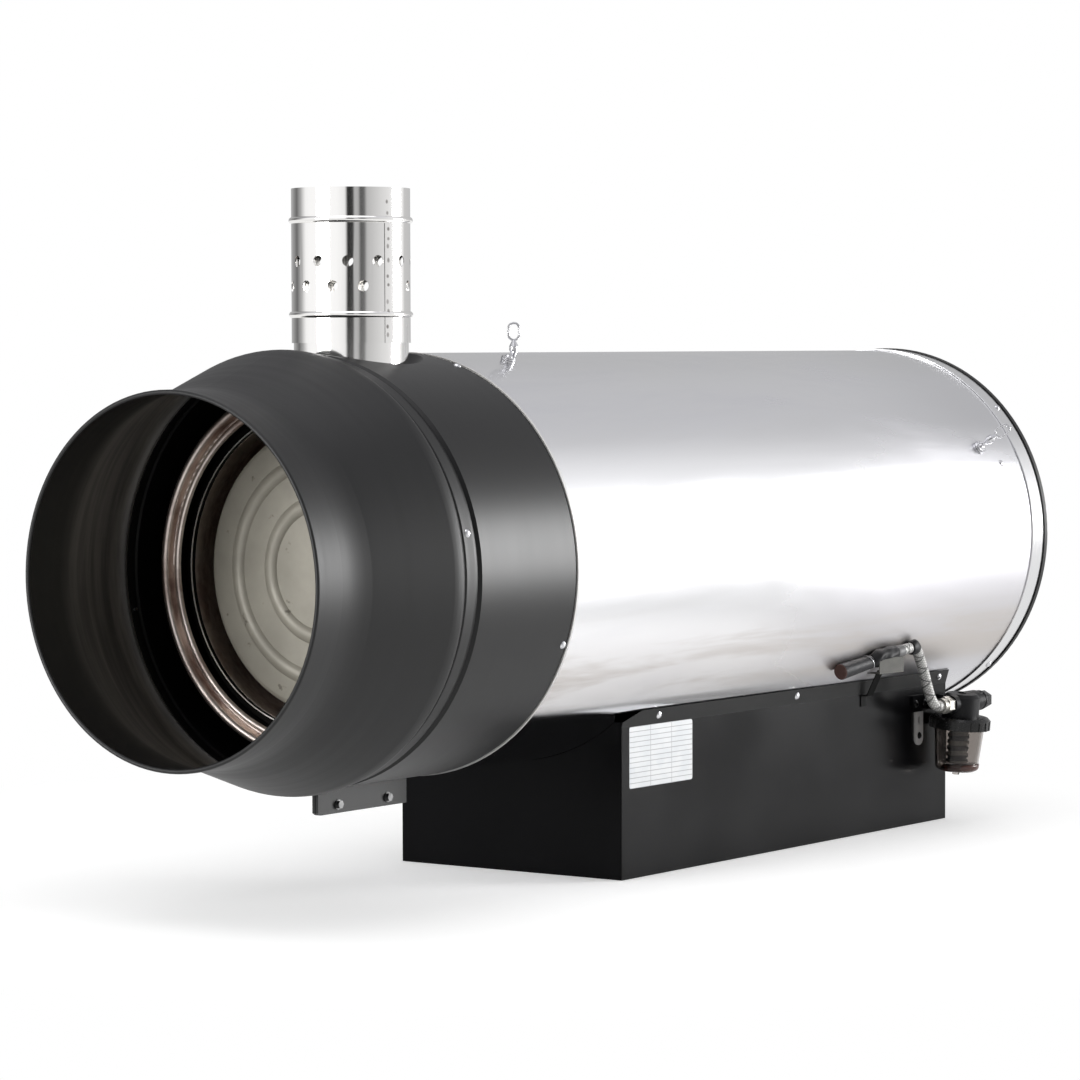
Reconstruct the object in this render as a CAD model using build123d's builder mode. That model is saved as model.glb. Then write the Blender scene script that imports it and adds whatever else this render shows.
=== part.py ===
from build123d import *
from math import cos, degrees, pi, radians, sin, sqrt, tan
import os

os.makedirs("parts", exist_ok=True)

# Whole heater, in millimetres. Stations are distances back from the rim of the hot-air outlet.
# A setback is measured backwards from the named piece's front, an inset forwards from its rear end.
overall_length = 1692.0
casing_radius = 272.0
cover_sheet = 1.5
casing_sheet = 1.0
inner_sheet = 1.5
seat_gap = 0.3
running_gap = 0.05

# Outlet cone and its skirt
outlet_radius = 230.0
rim_bead_radius = 3.0
cone_length = 226.0
collar_length = 70.0
collar_round = 150.0
shoulder_rise = 5.0
shoulder_round = 7.0
shoulder_blend = 40.0
groove_depth = 3.0
skirt_groove = 8.0
skirt_length = 17.0

# Black band that carries the flue, and its bolted closing flange below
band_groove = 14.0
band_groove_depth = 3.8
band_length = 201.0
spigot_length = 24.0
slit_width = 1.1
flange_sheet = 4.2
flange_drop = 35.0
flange_margin = 15.0
flange_bolt_spacing = 102.0
flange_bolt_drop = 24.0
flange_bolt_radius = 3.0

# Stainless casing, rear hoop and inlet bellmouth
casing_hem_rise = 1.2
casing_hem_width = 3.5
hoop_width = 35.0
rear_rim_depth = 11.0
rim_round = 4.0
bell_radius = 40.0
throat_length = 67.0
rear_lip = 5.0

# Dome-head screws of the shell: angle from the right-hand side, upwards, and station
screw_count = 4
screw_head_radius = 5.2
screw_head_height = 2.6
screw_shank_radius = 2.0
screw_length = 6.0
cone_screw_angle = 11.8
band_screw_angle = -20.0
band_screw_setback = 9.0
casing_screw_angle = 22.8
casing_screw_inset = 102.0
hoop_screw_angle = 42.9
hoop_screw_inset = 22.0

# Flue
flue_setback = 93.0
flue_radius = 75.0
flue_sheet = 1.0
flue_length = 194.0
flue_foot_lift = 13.0
flue_bead_rise = 3.2
flue_bead_half = 4.0
upper_bead_drop = 40.0
lower_bead_lift = 35.5
stub_radius = 72.4
stub_flare_lift = 10.0
stub_flare_length = 8.0
stub_insertion = 60.0
draught_hole_radius = 7.0
draught_holes_per_row = 12
upper_row_lift = 102.0
lower_row_lift = 71.0
upper_row_turn = 5.0
lower_row_turn = 20.0
seam_angle = -12.5
seam_sweep = 10.7
seam_rise = 0.8
funnel_depth = 24.0
funnel_mouth = 100.0
funnel_clearance = 1.5

# Heat exchanger and combustion chamber
exchanger_radius = 238.0
exchanger_inner = 200.0
exchanger_front = 276.0
exchanger_inset = 80.0
front_ring_edge = 260.0
jacket_lip = 4.0
jacket_recess = 12.0
ring_skirt = 24.0
chamber_radius = 184.0
chamber_front = 300.0
chamber_sheet = 2.0
cap_knuckle = 8.0
cap_skirt = 28.0
cap_bead_radii = (86.0, 139.0)
cap_bead_half = 10.0
cap_bead_rise = 5.0
crossover_radius = 45.0
crossover_inset = 100.0
bracket_sheet = 3.0
bracket_length = 30.0
bracket_foot = 20.0
rear_bracket_inset = 40.0
chamber_bracket_angle = 45.0

# Fan, its motor and the guard
fan_inset = 77.0
fan_blades = 6
fan_hub_radius = 48.0
fan_hub_length = 32.0
fan_tip_gap = 7.0
root_chord = 84.0
tip_chord = 112.0
root_pitch = 44.0
tip_pitch = 24.0
blade_camber = 9.0
blade_thickness = 2.6
motor_radius = 70.0
motor_length = 160.0
motor_gap = 45.0
motor_dome = 22.0
motor_step = 10.0
shaft_radius = 7.0
shaft_hold = 65.0
rib_count = 20
rib_height = 4.0
arm_sheet = 5.0
arm_depth = 30.0
foot_width = 30.0
foot_lap = 15.0
guard_wire = 3.0
guard_rings = 8
guard_disc_radius = 34.0
guard_spokes = 8
guard_setback = 7.5

# Base box
box_half_width = 181.0
box_length = 852.0
box_inset = 143.0
cover_top = 221.4
strip_height = 20.4
cover_lean = 6.02
panel_drop = 13.4
cover_corner = 41.0
front_screw_setback = 83.0
middle_screw_shift = 4.0
rear_screw_inset = 25.0
cover_screw_drop = 9.4
front_saddle_setback = 103.0
rear_saddle_inset = 17.0
saddle_sheet = 2.0
saddle_window_width = 250.0
saddle_window_height = 88.0
saddle_window_foot = 16.0
rail_drop = 24.0
rail_width = 28.0
panel_return = 14.0

# Burner set in the box
burner_x = -30.0
burner_height = 72.0
wheel_radius = 48.0
wheel_width = 60.0
wheel_blades = 18
blower_half_width = 42.0
blower_radius = 62.0
blower_wall = 4.0
blower_top = 140.0
wheel_blade_depth = 10.0
duct_inset = 209.0
duct_radius = 40.0
duct_bend = 75.0
duct_setback = 110.0
flame_tube_depth = 40.0
burner_shaft_radius = 5.0
burner_motor_radius = 45.0
burner_motor_length = 112.0
pump_radius = 32.0
pump_length = 60.0
pump_gap = 48.0
coupling_radius = 9.0
coupling_pin_radius = 4.0
nozzle_line_radius = 3.0
nozzle_line_lead = 55.0
nozzle_line_x = -95.0
suction_line_radius = 4.0
suction_line_inset = 31.0
suction_line_height = 14.0
line_bend = 12.0
rod_radius = 8.0
electrode_radius = 2.5
electrode_length = 60.0
electrode_back = 45.0
transformer_gap = 10.0
transformer_length = 80.0
transformer_width = 80.0
transformer_height = 75.0
transformer_x = 100.0

# Controls on the left-hand cover
control_inset = 59.0
control_length = 150.0
control_bottom = 50.0
control_height = 105.0
control_depth = 64.0
control_wall = 2.5
boss_depth = 26.0
knob_setback = 30.0
knob_lift = 75.0
knob_radius = 18.0
knob_depth = 16.0
knob_shaft_radius = 4.0
reset_setback = 72.0
reset_radius = 6.0
reset_height = 6.0
reset_stem = 16.0
lamp_setbacks = (100.0, 126.0)
lamp_radius = 5.0
lamp_shank_radius = 4.0
socket_setback = 100.0
socket_lift = 28.0
socket_radius = 12.0
socket_hole_radius = 9.3
gland_inset = 61.0
gland_height = 60.0
gland_bore = 4.5
gland_radius = 9.0
gland_hexagon = 6.0
gland_dome = 14.0
gland_thread = 8.0

# Fuel filter on the right-hand cover
filter_reach = 50.0
filter_inset = 41.0
port_drop = 44.4
filter_tilt = 5.0
head_radius = 27.0
head_top = 14.0
ring_top = -20.0
ring_bottom = -37.0
lock_ring_radius = 44.0
lock_ring_ribs = 20
ring_wall = 3.0
ring_lip = 2.0
filter_flange = 5.0
bowl_bottom = -100.0
bowl_top_radius = 36.5
bowl_foot_radius = 31.5
bowl_wall = 2.5
bowl_round = 8.0
drain_radius = 6.0
drain_length = 6.0
element_radius = 16.0
element_gap = 12.0
element_ribs = 6
front_port_reach = 36.0
rear_port_reach = 50.0
port_radius = 14.0
plug_length = 20.0
bracket_plate = 4.0
bracket_plate_lead = 61.0
bracket_plate_length = 83.0
bracket_plate_height = 24.0
arm_width = 26.0
arm_height = 18.0
arm_root = 4.0
nipple_radius = 7.0
nipple_drop = 5.0
nipple_reach = 3.5
strip_lead = 41.0
strip_width = 22.0
strip_sheet = 3.0
strip_length = 49.0
strip_screw_drop = 35.0
strip_slot_drop = 12.7

# Braided fuel hose: its route is chosen by hand, as x, run forwards and rise from the end of the fitting
hose_route = [
    (0.0, 0.0, 0.0),
    (0.0, 12.0, 0.0),
    (-0.5, 24.0, 8.5),
    (-1.5, 32.5, 26.0),
    (-1.0, 46.0, 53.0),
    (2.0, 65.0, 77.0),
    (5.5, 80.0, 90.0),
    (6.6, 100.3, 91.4),
    (4.5, 118.0, 88.5),
]
hose_radius = 7.75
nut_radius = 12.7
nut_length = 16.0
ferrule_radius = 10.5
ferrule_length = 10.0
sleeve_radius = 9.5
sleeve_reach = 147.0
tie_radius = 9.9
tie_width = 5.0
rest_sheet = 1.2
rest_length = 56.0
rest_lead = 38.0
rest_floor_drop = 23.3
rest_wall = 22.0
rest_knee = 25.5
rest_shelf = 45.0
rest_arm = 14.0
rest_foot = 16.0

# Swivel hangers: angle on the casing, then lean from square, heading of the lean, heading of the neck
front_hanger_angle = 73.6
front_hanger_setback = 123.0
front_hanger_turns = (16.4, 90.0, 0.0)
rear_hanger_angle = 28.2
rear_hanger_inset = 151.0
rear_hanger_turns = (31.0, 20.0, 20.0)
post_radius = 6.9
post_flange = 9.5
link_wire = 1.5
link_ring_radius = 8.5
swivel_neck = 2.0
swivel_radius = 6.0
link_barrel = 14.0
eye_cone = 10.0
pin_length = 9.0
swivel_pin = 1.6
eye_width = 17.0
eye_length = 25.0
eye_wire = 3.0
eye_facing = (0.58, -0.81, 0.0)

casing_inner = casing_radius - casing_sheet
skirt_start = cone_length + skirt_groove
skirt_end = skirt_start + skirt_length
band_start = skirt_end + band_groove
band_end = band_start + band_length
flue_station = band_start + flue_setback
hoop_start = overall_length - rear_rim_depth - hoop_width
hoop_radius = casing_radius + seat_gap + casing_sheet
casing_screw_station = overall_length - casing_screw_inset
saddle_radius = casing_radius + seat_gap
# The casing lies between the leaning top strips of the covers, and that sets the height of its axis
strip_reach = box_half_width + cover_lean - cover_sheet - seat_gap
axis_height = cover_top + sqrt(saddle_radius**2 - strip_reach**2)
flue_foot = axis_height + casing_radius + flue_foot_lift
flue_top = flue_foot + flue_length
# The box hangs back from the rear end, and the burner, the chamber and the controls follow it
box_rear = overall_length - box_inset
box_front = box_rear - box_length
panel_top = cover_top - panel_drop
cover_bend_height = cover_top - strip_height
cover_screw_height = cover_top - cover_screw_drop
cover_screw_stations = (
    box_front + front_screw_setback,
    (box_front + box_rear) / 2 + middle_screw_shift,
    box_rear - rear_screw_inset,
)
saddle_stations = (box_front + front_saddle_setback, box_rear - rear_saddle_inset)
duct_station = box_rear - duct_inset
chamber_rear = duct_station - duct_setback
exchanger_rear = chamber_rear - exchanger_inset
crossover_station = exchanger_rear - crossover_inset
rear_bracket_station = exchanger_rear - rear_bracket_inset
nozzle_line_station = duct_station - nozzle_line_lead
pump_front = duct_station - blower_half_width - pump_gap - pump_length
transformer_front = pump_front - transformer_gap - transformer_length
fan_station = overall_length - fan_inset
motor_front = fan_station - motor_gap - motor_length
control_front = box_rear - control_inset - control_length
filter_x = box_half_width + filter_reach
filter_station = box_rear - filter_inset
port_height = cover_top - port_drop
nipple_height = port_height - nipple_drop
bracket_plate_front = filter_station - bracket_plate_lead
strip_station = filter_station - strip_lead
rear_hanger_station = overall_length - rear_hanger_inset
hanger_places = {
    "front_right": (1, front_hanger_angle, band_end + front_hanger_setback, front_hanger_turns),
    "rear_right": (1, rear_hanger_angle, rear_hanger_station, rear_hanger_turns),
    "rear_left": (-1, 180 - rear_hanger_angle, rear_hanger_station, rear_hanger_turns),
}


def station(distance):
    """Y of a point that far behind the outlet's rim; the origin is at mid-length."""
    return distance - overall_length / 2


# In the shell plane a point is (station, radius); in the flue plane it is (radius, height above the axis)
shell_plane = Plane(origin=(0, station(0), axis_height), x_dir=(0, 1, 0), z_dir=(1, 0, 0))
heater_axis = Axis((0, station(0), axis_height), (0, 1, 0))
flue_plane = Plane(origin=(0, station(flue_station), axis_height), x_dir=(1, 0, 0), z_dir=(0, -1, 0))
flue_axis = Axis((0, station(flue_station), axis_height), (0, 0, 1))
burner_axis = Axis((burner_x, station(0), burner_height), (0, 1, 0))
burner_plane = Plane(origin=(burner_x, station(0), burner_height), x_dir=(0, 1, 0), z_dir=(1, 0, 0))


def outline(plane, *points):
    """Closed outline of straight lines through the points, as a sketch on the plane."""
    with BuildSketch(plane) as flat:
        with BuildLine():
            Polyline(*points, close=True)
        make_face()
    return flat.sketch


def cross_plane(distance):
    """Upright plane across the heater at a station, seen from the rear: x to the left is positive X."""
    return Plane(origin=(0, station(distance), 0), x_dir=(1, 0, 0), z_dir=(0, -1, 0))


def shell_place(angle, distance, radius):
    """Plane that stands on the shell at an angle and a station, its z pointing outwards."""
    outward = Vector(cos(radians(angle)), 0, sin(radians(angle)))
    foot = Vector(0, station(distance), axis_height) + outward * radius
    return Plane(origin=foot, x_dir=(0, 1, 0), z_dir=outward)


def screw_places(first_angle, distance, radius):
    """Planes of a ring of screws, evenly spaced round the shell."""
    step = 360 / screw_count
    return [shell_place(first_angle + k * step, distance, radius) for k in range(screw_count)]


def save(piece, name):
    """Label a finished piece and write it under its own name."""
    piece.part.label = name
    export_step(piece.part, f"parts/{name}.step")


cone_screws_at = screw_places(cone_screw_angle, (skirt_start + skirt_end) / 2, casing_radius)
band_screws_at = screw_places(band_screw_angle, band_end - band_screw_setback, casing_radius)
casing_screws_at = screw_places(casing_screw_angle, casing_screw_station, casing_radius)
hoop_screws_at = screw_places(hoop_screw_angle, overall_length - hoop_screw_inset, hoop_radius)
screw_hole_radius = screw_shank_radius + seat_gap

# Outlet cone: rolled rim, straight collar, flared wall, rounded shoulder, groove and skirt
shoulder_station = cone_length - shoulder_round
shoulder_radius = casing_radius + shoulder_rise
flare_line = [
    (rim_bead_radius, outlet_radius),
    (collar_length, outlet_radius),
    (shoulder_station - shoulder_round, shoulder_radius),
    (shoulder_station, shoulder_radius),
]
flare_rounds = [collar_round, shoulder_blend]
groove_station = cone_length + skirt_groove / 2
groove_radius = casing_radius - groove_depth
with BuildPart() as outlet_cone:
    with BuildSketch(shell_plane):
        with BuildLine():
            flare = FilletPolyline(*flare_line, radius=flare_rounds)
            roll = TangentArc(flare @ 1, (groove_station, groove_radius), tangent=(1, 0))
            skirt = Polyline(
                roll @ 1,
                (skirt_start, casing_radius),
                (skirt_end, casing_radius),
                (skirt_end, casing_radius - cover_sheet),
                (skirt_start, casing_radius - cover_sheet),
                (groove_station, groove_radius - cover_sheet),
            )
            inner_flare = FilletPolyline(
                *[(along, radius - cover_sheet) for along, radius in flare_line],
                radius=flare_rounds,
            )
            TangentArc(inner_flare @ 1, skirt @ 1, tangent=(1, 0))
            Line(inner_flare @ 0, flare @ 0)
        make_face()
        with Locations((rim_bead_radius, outlet_radius - rim_bead_radius)):
            Circle(rim_bead_radius)
    revolve(axis=heater_axis)
    with Locations(*cone_screws_at):
        Cylinder(screw_hole_radius, 4 * cover_sheet, mode=Mode.SUBTRACT)
save(outlet_cone, "outlet_cone")

# Flue band: spigot under the cone's skirt, groove, plain band, and a joggle under the casing
spigot_radius = casing_radius - cover_sheet - seat_gap
band_groove_radius = casing_radius - band_groove_depth
tail_radius = casing_inner - seat_gap
band_outer = [
    (skirt_start + 2, spigot_radius),
    (skirt_end - 2, spigot_radius),
    (skirt_end + 1, band_groove_radius),
    (band_start - 4, band_groove_radius),
    (band_start, casing_radius),
    (band_end - 3.5, casing_radius),
    (band_end - 0.5, tail_radius),
    (band_end + spigot_length, tail_radius),
]
band_inner = [(along, radius - cover_sheet) for along, radius in reversed(band_outer)]
funnel_throat = stub_radius + funnel_clearance
funnel_low = casing_radius - funnel_depth
funnel_slope = (funnel_mouth - funnel_throat) / funnel_depth
funnel_high = casing_radius + funnel_depth / 2
funnel_rim = funnel_throat + funnel_slope * (funnel_high - funnel_low)
funnel_wall = cover_sheet * sqrt(1 + funnel_slope**2)
with BuildPart() as flue_funnel:
    wall = outline(
        flue_plane,
        (funnel_throat, funnel_low),
        (funnel_rim, funnel_high),
        (funnel_rim + funnel_wall, funnel_high),
        (funnel_throat + funnel_wall, funnel_low),
    )
    revolve(wall, axis=flue_axis)
    with BuildSketch(cross_plane(flue_station + 2 * funnel_rim)):
        with Locations((0, axis_height)):
            Circle(casing_radius)
    extrude(amount=4 * funnel_rim, mode=Mode.INTERSECT)

flange_front = band_start + flange_margin
flange_rear = band_end - flange_margin / 4
flange_top = axis_height - casing_radius + cover_sheet / 2
flange_bottom = axis_height - casing_radius - flange_drop
flange_mid = (flange_front + flange_rear) / 2
flange_bolt_stations = [flange_mid - flange_bolt_spacing / 2, flange_mid + flange_bolt_spacing / 2]
flange_bolt_height = axis_height - casing_radius - flange_bolt_drop
with BuildPart() as flue_band:
    revolve(outline(shell_plane, *band_outer, *band_inner), axis=heater_axis)
    opening = outline(
        flue_plane,
        (0, funnel_low),
        (funnel_throat, funnel_low),
        (funnel_rim, funnel_high),
        (0, funnel_high),
    )
    revolve(opening, axis=flue_axis, mode=Mode.SUBTRACT)
    add(flue_funnel.part)
    with Locations((0, station((skirt_start + band_end + spigot_length) / 2), axis_height - casing_radius)):
        Box(slit_width, 2 * band_length, 6 * cover_sheet, mode=Mode.SUBTRACT)
    for side in (1, -1):
        lug = outline(
            Plane(origin=(side * slit_width / 2, station(0), 0), x_dir=(0, 1, 0), z_dir=(1, 0, 0)),
            (flange_front, flange_top),
            (flange_rear, flange_top),
            (flange_rear, flange_bottom),
            (flange_front + 5, flange_bottom),
            (flange_front, flange_bottom + 3),
        )
        extrude(lug, amount=side * flange_sheet)
    for at in flange_bolt_stations:
        with Locations(Plane(origin=(0, station(at), flange_bolt_height), z_dir=(1, 0, 0))):
            Cylinder(flange_bolt_radius + seat_gap, 4 * flange_sheet, mode=Mode.SUBTRACT)
    with Locations(*band_screws_at):
        Cylinder(screw_hole_radius, 4 * cover_sheet, mode=Mode.SUBTRACT)
    with Locations(*cone_screws_at):
        Cylinder(screw_hole_radius, 6 * cover_sheet, mode=Mode.SUBTRACT)
save(flue_band, "flue_band")

# Bolts of the closing flange: washer, hexagon head, shank and nut
bolt_seat = slit_width / 2 + flange_sheet
with BuildPart() as flange_bolt:
    with BuildSketch(Plane.YZ.offset(-bolt_seat - 5)):
        Circle(flange_bolt_radius)
    extrude(amount=2 * bolt_seat + 10)
    with BuildSketch(Plane.YZ.offset(bolt_seat)):
        Circle(2.2 * flange_bolt_radius)
    extrude(amount=1.2)
    with BuildSketch(Plane.YZ.offset(bolt_seat + 1.2)):
        RegularPolygon(1.85 * flange_bolt_radius, 6)
    extrude(amount=4)
    with BuildSketch(Plane.YZ.offset(-bolt_seat)):
        RegularPolygon(1.85 * flange_bolt_radius, 6)
    extrude(amount=-4.5)
with BuildPart() as band_flange_bolts:
    with Locations(*[(0, station(at), flange_bolt_height) for at in flange_bolt_stations]):
        add(flange_bolt.part)
save(band_flange_bolts, "band_flange_bolts")

# Dome-head screw, standing on its seat with the shank going in
with BuildPart() as shell_screw:
    with BuildSketch(Plane.XZ):
        with BuildLine():
            dome = ThreePointArc(
                (0, screw_head_height),
                (0.72 * screw_head_radius, 0.7 * screw_head_height),
                (screw_head_radius, 0.15),
            )
            Polyline(
                dome @ 1,
                (screw_head_radius, 0),
                (screw_shank_radius, 0),
                (screw_shank_radius, -screw_length),
                (0, -screw_length),
                dome @ 0,
            )
        make_face()
    revolve(axis=Axis.Z)
with BuildPart() as shell_screws:
    with Locations(*cone_screws_at, *band_screws_at, *casing_screws_at, *hoop_screws_at):
        add(shell_screw.part)
save(shell_screws, "shell_screws")

# Stainless casing with a hemmed front edge
casing_end = overall_length - rim_round - seat_gap
duct_hole_radius = duct_radius + 2 * seat_gap
hanger_posts_at = [
    shell_place(angle, distance, casing_radius) for side, angle, distance, turns in hanger_places.values()
]
with BuildPart() as casing:
    wall = outline(
        shell_plane,
        (band_end, casing_inner),
        (band_end, casing_radius + casing_hem_rise),
        (band_end + casing_hem_width, casing_radius + casing_hem_rise),
        (band_end + casing_hem_width, casing_radius),
        (casing_end, casing_radius),
        (casing_end, casing_inner),
    )
    revolve(wall, axis=heater_axis)
    with Locations((0, station(duct_station), axis_height - casing_radius)):
        Cylinder(duct_hole_radius, 40 * casing_sheet, mode=Mode.SUBTRACT)
    with Locations((nozzle_line_x, station(nozzle_line_station), axis_height - casing_radius)):
        Cylinder(nozzle_line_radius + seat_gap, 80 * casing_sheet, mode=Mode.SUBTRACT)
    with Locations(*casing_screws_at, *hoop_screws_at, *hanger_posts_at):
        Cylinder(screw_hole_radius, 6 * casing_sheet, mode=Mode.SUBTRACT)
save(casing, "casing")

# Rear hoop over the casing's end, its front edge rolled a little proud
with BuildPart() as rear_hoop:
    wall = outline(
        shell_plane,
        (hoop_start, casing_radius + seat_gap),
        (hoop_start, hoop_radius + 0.8),
        (hoop_start + 3, hoop_radius + 0.8),
        (hoop_start + 4, hoop_radius),
        (casing_end, hoop_radius),
        (casing_end, casing_radius + seat_gap),
    )
    revolve(wall, axis=heater_axis)
    with Locations(*hoop_screws_at):
        Cylinder(screw_hole_radius, 6 * casing_sheet, mode=Mode.SUBTRACT)
save(rear_hoop, "rear_hoop")

# Inlet bellmouth: black rim over the hoop, rolled lip, bell and fan throat
rim_inner = hoop_radius + seat_gap
rim_radius = rim_inner + cover_sheet
rim_start = overall_length - rear_rim_depth
lip_radius = rim_inner - 2.5
bell_outer = lip_radius - rear_lip
throat_radius = bell_outer - bell_radius
bell_start = overall_length - bell_radius
with BuildPart() as inlet_bellmouth:
    with BuildSketch(shell_plane):
        with BuildLine():
            rim = Line((rim_start, rim_radius), (overall_length - rim_round, rim_radius))
            lip = RadiusArc(rim @ 1, (overall_length, rim_radius - rim_round), rim_round)
            land = Line(lip @ 1, (overall_length, bell_outer))
            bell = ThreePointArc(
                land @ 1,
                (bell_start + bell_radius * sin(radians(45)), bell_outer - bell_radius * sin(radians(45))),
                (bell_start, throat_radius),
            )
            throat = Polyline(
                bell @ 1,
                (bell_start - throat_length, throat_radius),
                (bell_start - throat_length, throat_radius + cover_sheet),
                (bell_start, throat_radius + cover_sheet),
            )
            back_radius = bell_radius - cover_sheet
            back = ThreePointArc(
                throat @ 1,
                (bell_start + back_radius * sin(radians(45)), bell_outer - back_radius * sin(radians(45))),
                (bell_start + back_radius, bell_outer),
            )
            back_land = Line(back @ 1, (overall_length - cover_sheet, rim_radius - rim_round))
            back_round = rim_round - cover_sheet
            back_lip = RadiusArc(back_land @ 1, (overall_length - rim_round, rim_inner), -back_round)
            Polyline(back_lip @ 1, (rim_start, rim_inner), rim @ 0)
        make_face()
    revolve(axis=heater_axis)
save(inlet_bellmouth, "inlet_bellmouth")

# Wire guard in the bellmouth: rings, spokes and a centre disc
guard_station = overall_length - guard_setback
bell_at_guard = bell_outer - sqrt(bell_radius**2 - (guard_station - guard_wire / 2 - bell_start) ** 2)
guard_radius = bell_at_guard - seat_gap
ring_pitch = (guard_radius - guard_disc_radius) / guard_rings
spoke_length = guard_radius - guard_wire / 2
with BuildPart() as fan_guard:
    with BuildSketch(cross_plane(guard_station + guard_wire / 2)):
        with Locations((0, axis_height)):
            for k in range(guard_rings, 0, -1):
                reach = guard_disc_radius + k * ring_pitch
                Circle(reach)
                Circle(reach - guard_wire, mode=Mode.SUBTRACT)
            for k in range(guard_spokes // 2):
                Rectangle(2 * spoke_length, guard_wire, rotation=k * 360 / guard_spokes)
            Circle(guard_disc_radius)
    extrude(amount=guard_wire)
save(fan_guard, "fan_guard")

# Fan motor: ribbed body, domed front, and the bore its shaft runs in
motor_rear = motor_front + motor_length
shaft_bore = shaft_radius + running_gap
with BuildPart() as fan_motor:
    body = outline(
        shell_plane,
        (motor_front, 0),
        (motor_front, 0.62 * motor_radius),
        (motor_front + motor_dome / 2, 0.95 * motor_radius),
        (motor_front + motor_dome, motor_radius),
        (motor_rear - motor_step, motor_radius),
        (motor_rear - 0.8 * motor_step, 0.8 * motor_radius),
        (motor_rear, 0.75 * motor_radius),
        (motor_rear, shaft_bore),
        (motor_rear - shaft_hold - 1, shaft_bore),
        (motor_rear - shaft_hold - 1, 0),
    )
    revolve(body, axis=heater_axis)
    rib_start = motor_front + motor_dome + rib_height
    rib_length = motor_rear - motor_step - rib_height - rib_start
    rib_middle = rib_start + rib_length / 2
    ribs = [shell_place(k * 360 / rib_count, rib_middle, motor_radius) for k in range(rib_count)]
    with Locations(*ribs):
        Box(rib_length, rib_height, 2 * rib_height)
save(fan_motor, "fan_motor")

# Spider that carries the motor: collar, four arms and feet under the casing screws
collar_inner = motor_radius + rib_height + seat_gap
collar_outer = collar_inner + arm_sheet
foot_outer = casing_inner - seat_gap
foot_inner = foot_outer - 2
collar_start = motor_rear - arm_depth
foot_end = casing_screw_station + foot_lap
with BuildPart() as spider_feet:
    foot_band = outline(
        shell_plane,
        (collar_start, foot_inner),
        (collar_start, foot_outer),
        (foot_end, foot_outer),
        (foot_end, foot_inner),
    )
    revolve(foot_band, axis=heater_axis)
    with Locations(*casing_screws_at):
        Box(2 * (foot_end - collar_start), foot_width, 2 * foot_width, mode=Mode.INTERSECT)
with BuildPart() as motor_mount:
    collar = outline(
        shell_plane,
        (collar_start, collar_inner),
        (collar_start, collar_outer),
        (motor_rear, collar_outer),
        (motor_rear, collar_inner),
    )
    revolve(collar, axis=heater_axis)
    arm_inner = collar_inner + arm_sheet / 2
    arm_reach = foot_outer - 1 - arm_inner
    arm_places = screw_places(casing_screw_angle, collar_start + arm_depth / 2, arm_inner + arm_reach / 2)
    with Locations(*arm_places):
        Box(arm_depth, arm_sheet, arm_reach)
    add(spider_feet.part)
    with Locations(*casing_screws_at):
        Cylinder(screw_hole_radius, 8 * casing_sheet, mode=Mode.SUBTRACT)
save(motor_mount, "motor_mount")

# Fan: shaft, hub with a rounded nose, and cambered blades lofted from root to tip
fan_tip_radius = throat_radius - fan_tip_gap
hub_front = fan_station - fan_hub_length / 2
hub_rear = fan_station + fan_hub_length / 2


def blade_section(radius, chord, pitch):
    """Cambered section of a blade on the plane square to its radius."""
    place = Plane(
        origin=(radius, station(fan_station), axis_height),
        x_dir=(0, sin(radians(pitch)), cos(radians(pitch))),
        z_dir=(1, 0, 0),
    )
    half = chord / 2
    rise = blade_camber * chord / tip_chord
    with BuildSketch(place) as section:
        with BuildLine():
            back = ThreePointArc((-half, 0), (0, rise), (half, 0))
            edge = Line(back @ 1, (half, -blade_thickness / 2))
            front = ThreePointArc(edge @ 1, (0, rise - blade_thickness), (-half, -blade_thickness / 2))
            Line(front @ 1, back @ 0)
        make_face()
    return section.sketch


with BuildPart() as fan_blade:
    middle_radius = (fan_hub_radius + fan_tip_radius) / 2
    middle_chord = (root_chord + tip_chord) / 2
    middle_pitch = 0.45 * root_pitch + 0.55 * tip_pitch
    root = blade_section(0.85 * fan_hub_radius, root_chord, root_pitch)
    middle = blade_section(middle_radius, middle_chord, middle_pitch)
    tip = blade_section(fan_tip_radius, tip_chord, tip_pitch)
    loft(sections=[root, middle, tip])
with BuildPart() as fan_impeller:
    with BuildSketch(shell_plane):
        with BuildLine():
            nose = ThreePointArc(
                (hub_rear, 0),
                (hub_rear - 3, 0.6 * fan_hub_radius),
                (hub_rear - 12, fan_hub_radius),
            )
            Polyline(
                nose @ 1,
                (hub_front, fan_hub_radius),
                (hub_front, 3 * shaft_radius),
                (hub_front - 8, 2.2 * shaft_radius),
                (hub_front - 8, shaft_radius),
                (motor_rear - shaft_hold, shaft_radius),
                (motor_rear - shaft_hold, 0),
                nose @ 0,
            )
        make_face()
    revolve(axis=heater_axis)
    for k in range(fan_blades):
        add(fan_blade.part.rotate(heater_axis, k * 360 / fan_blades))
save(fan_impeller, "fan_impeller")

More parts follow.
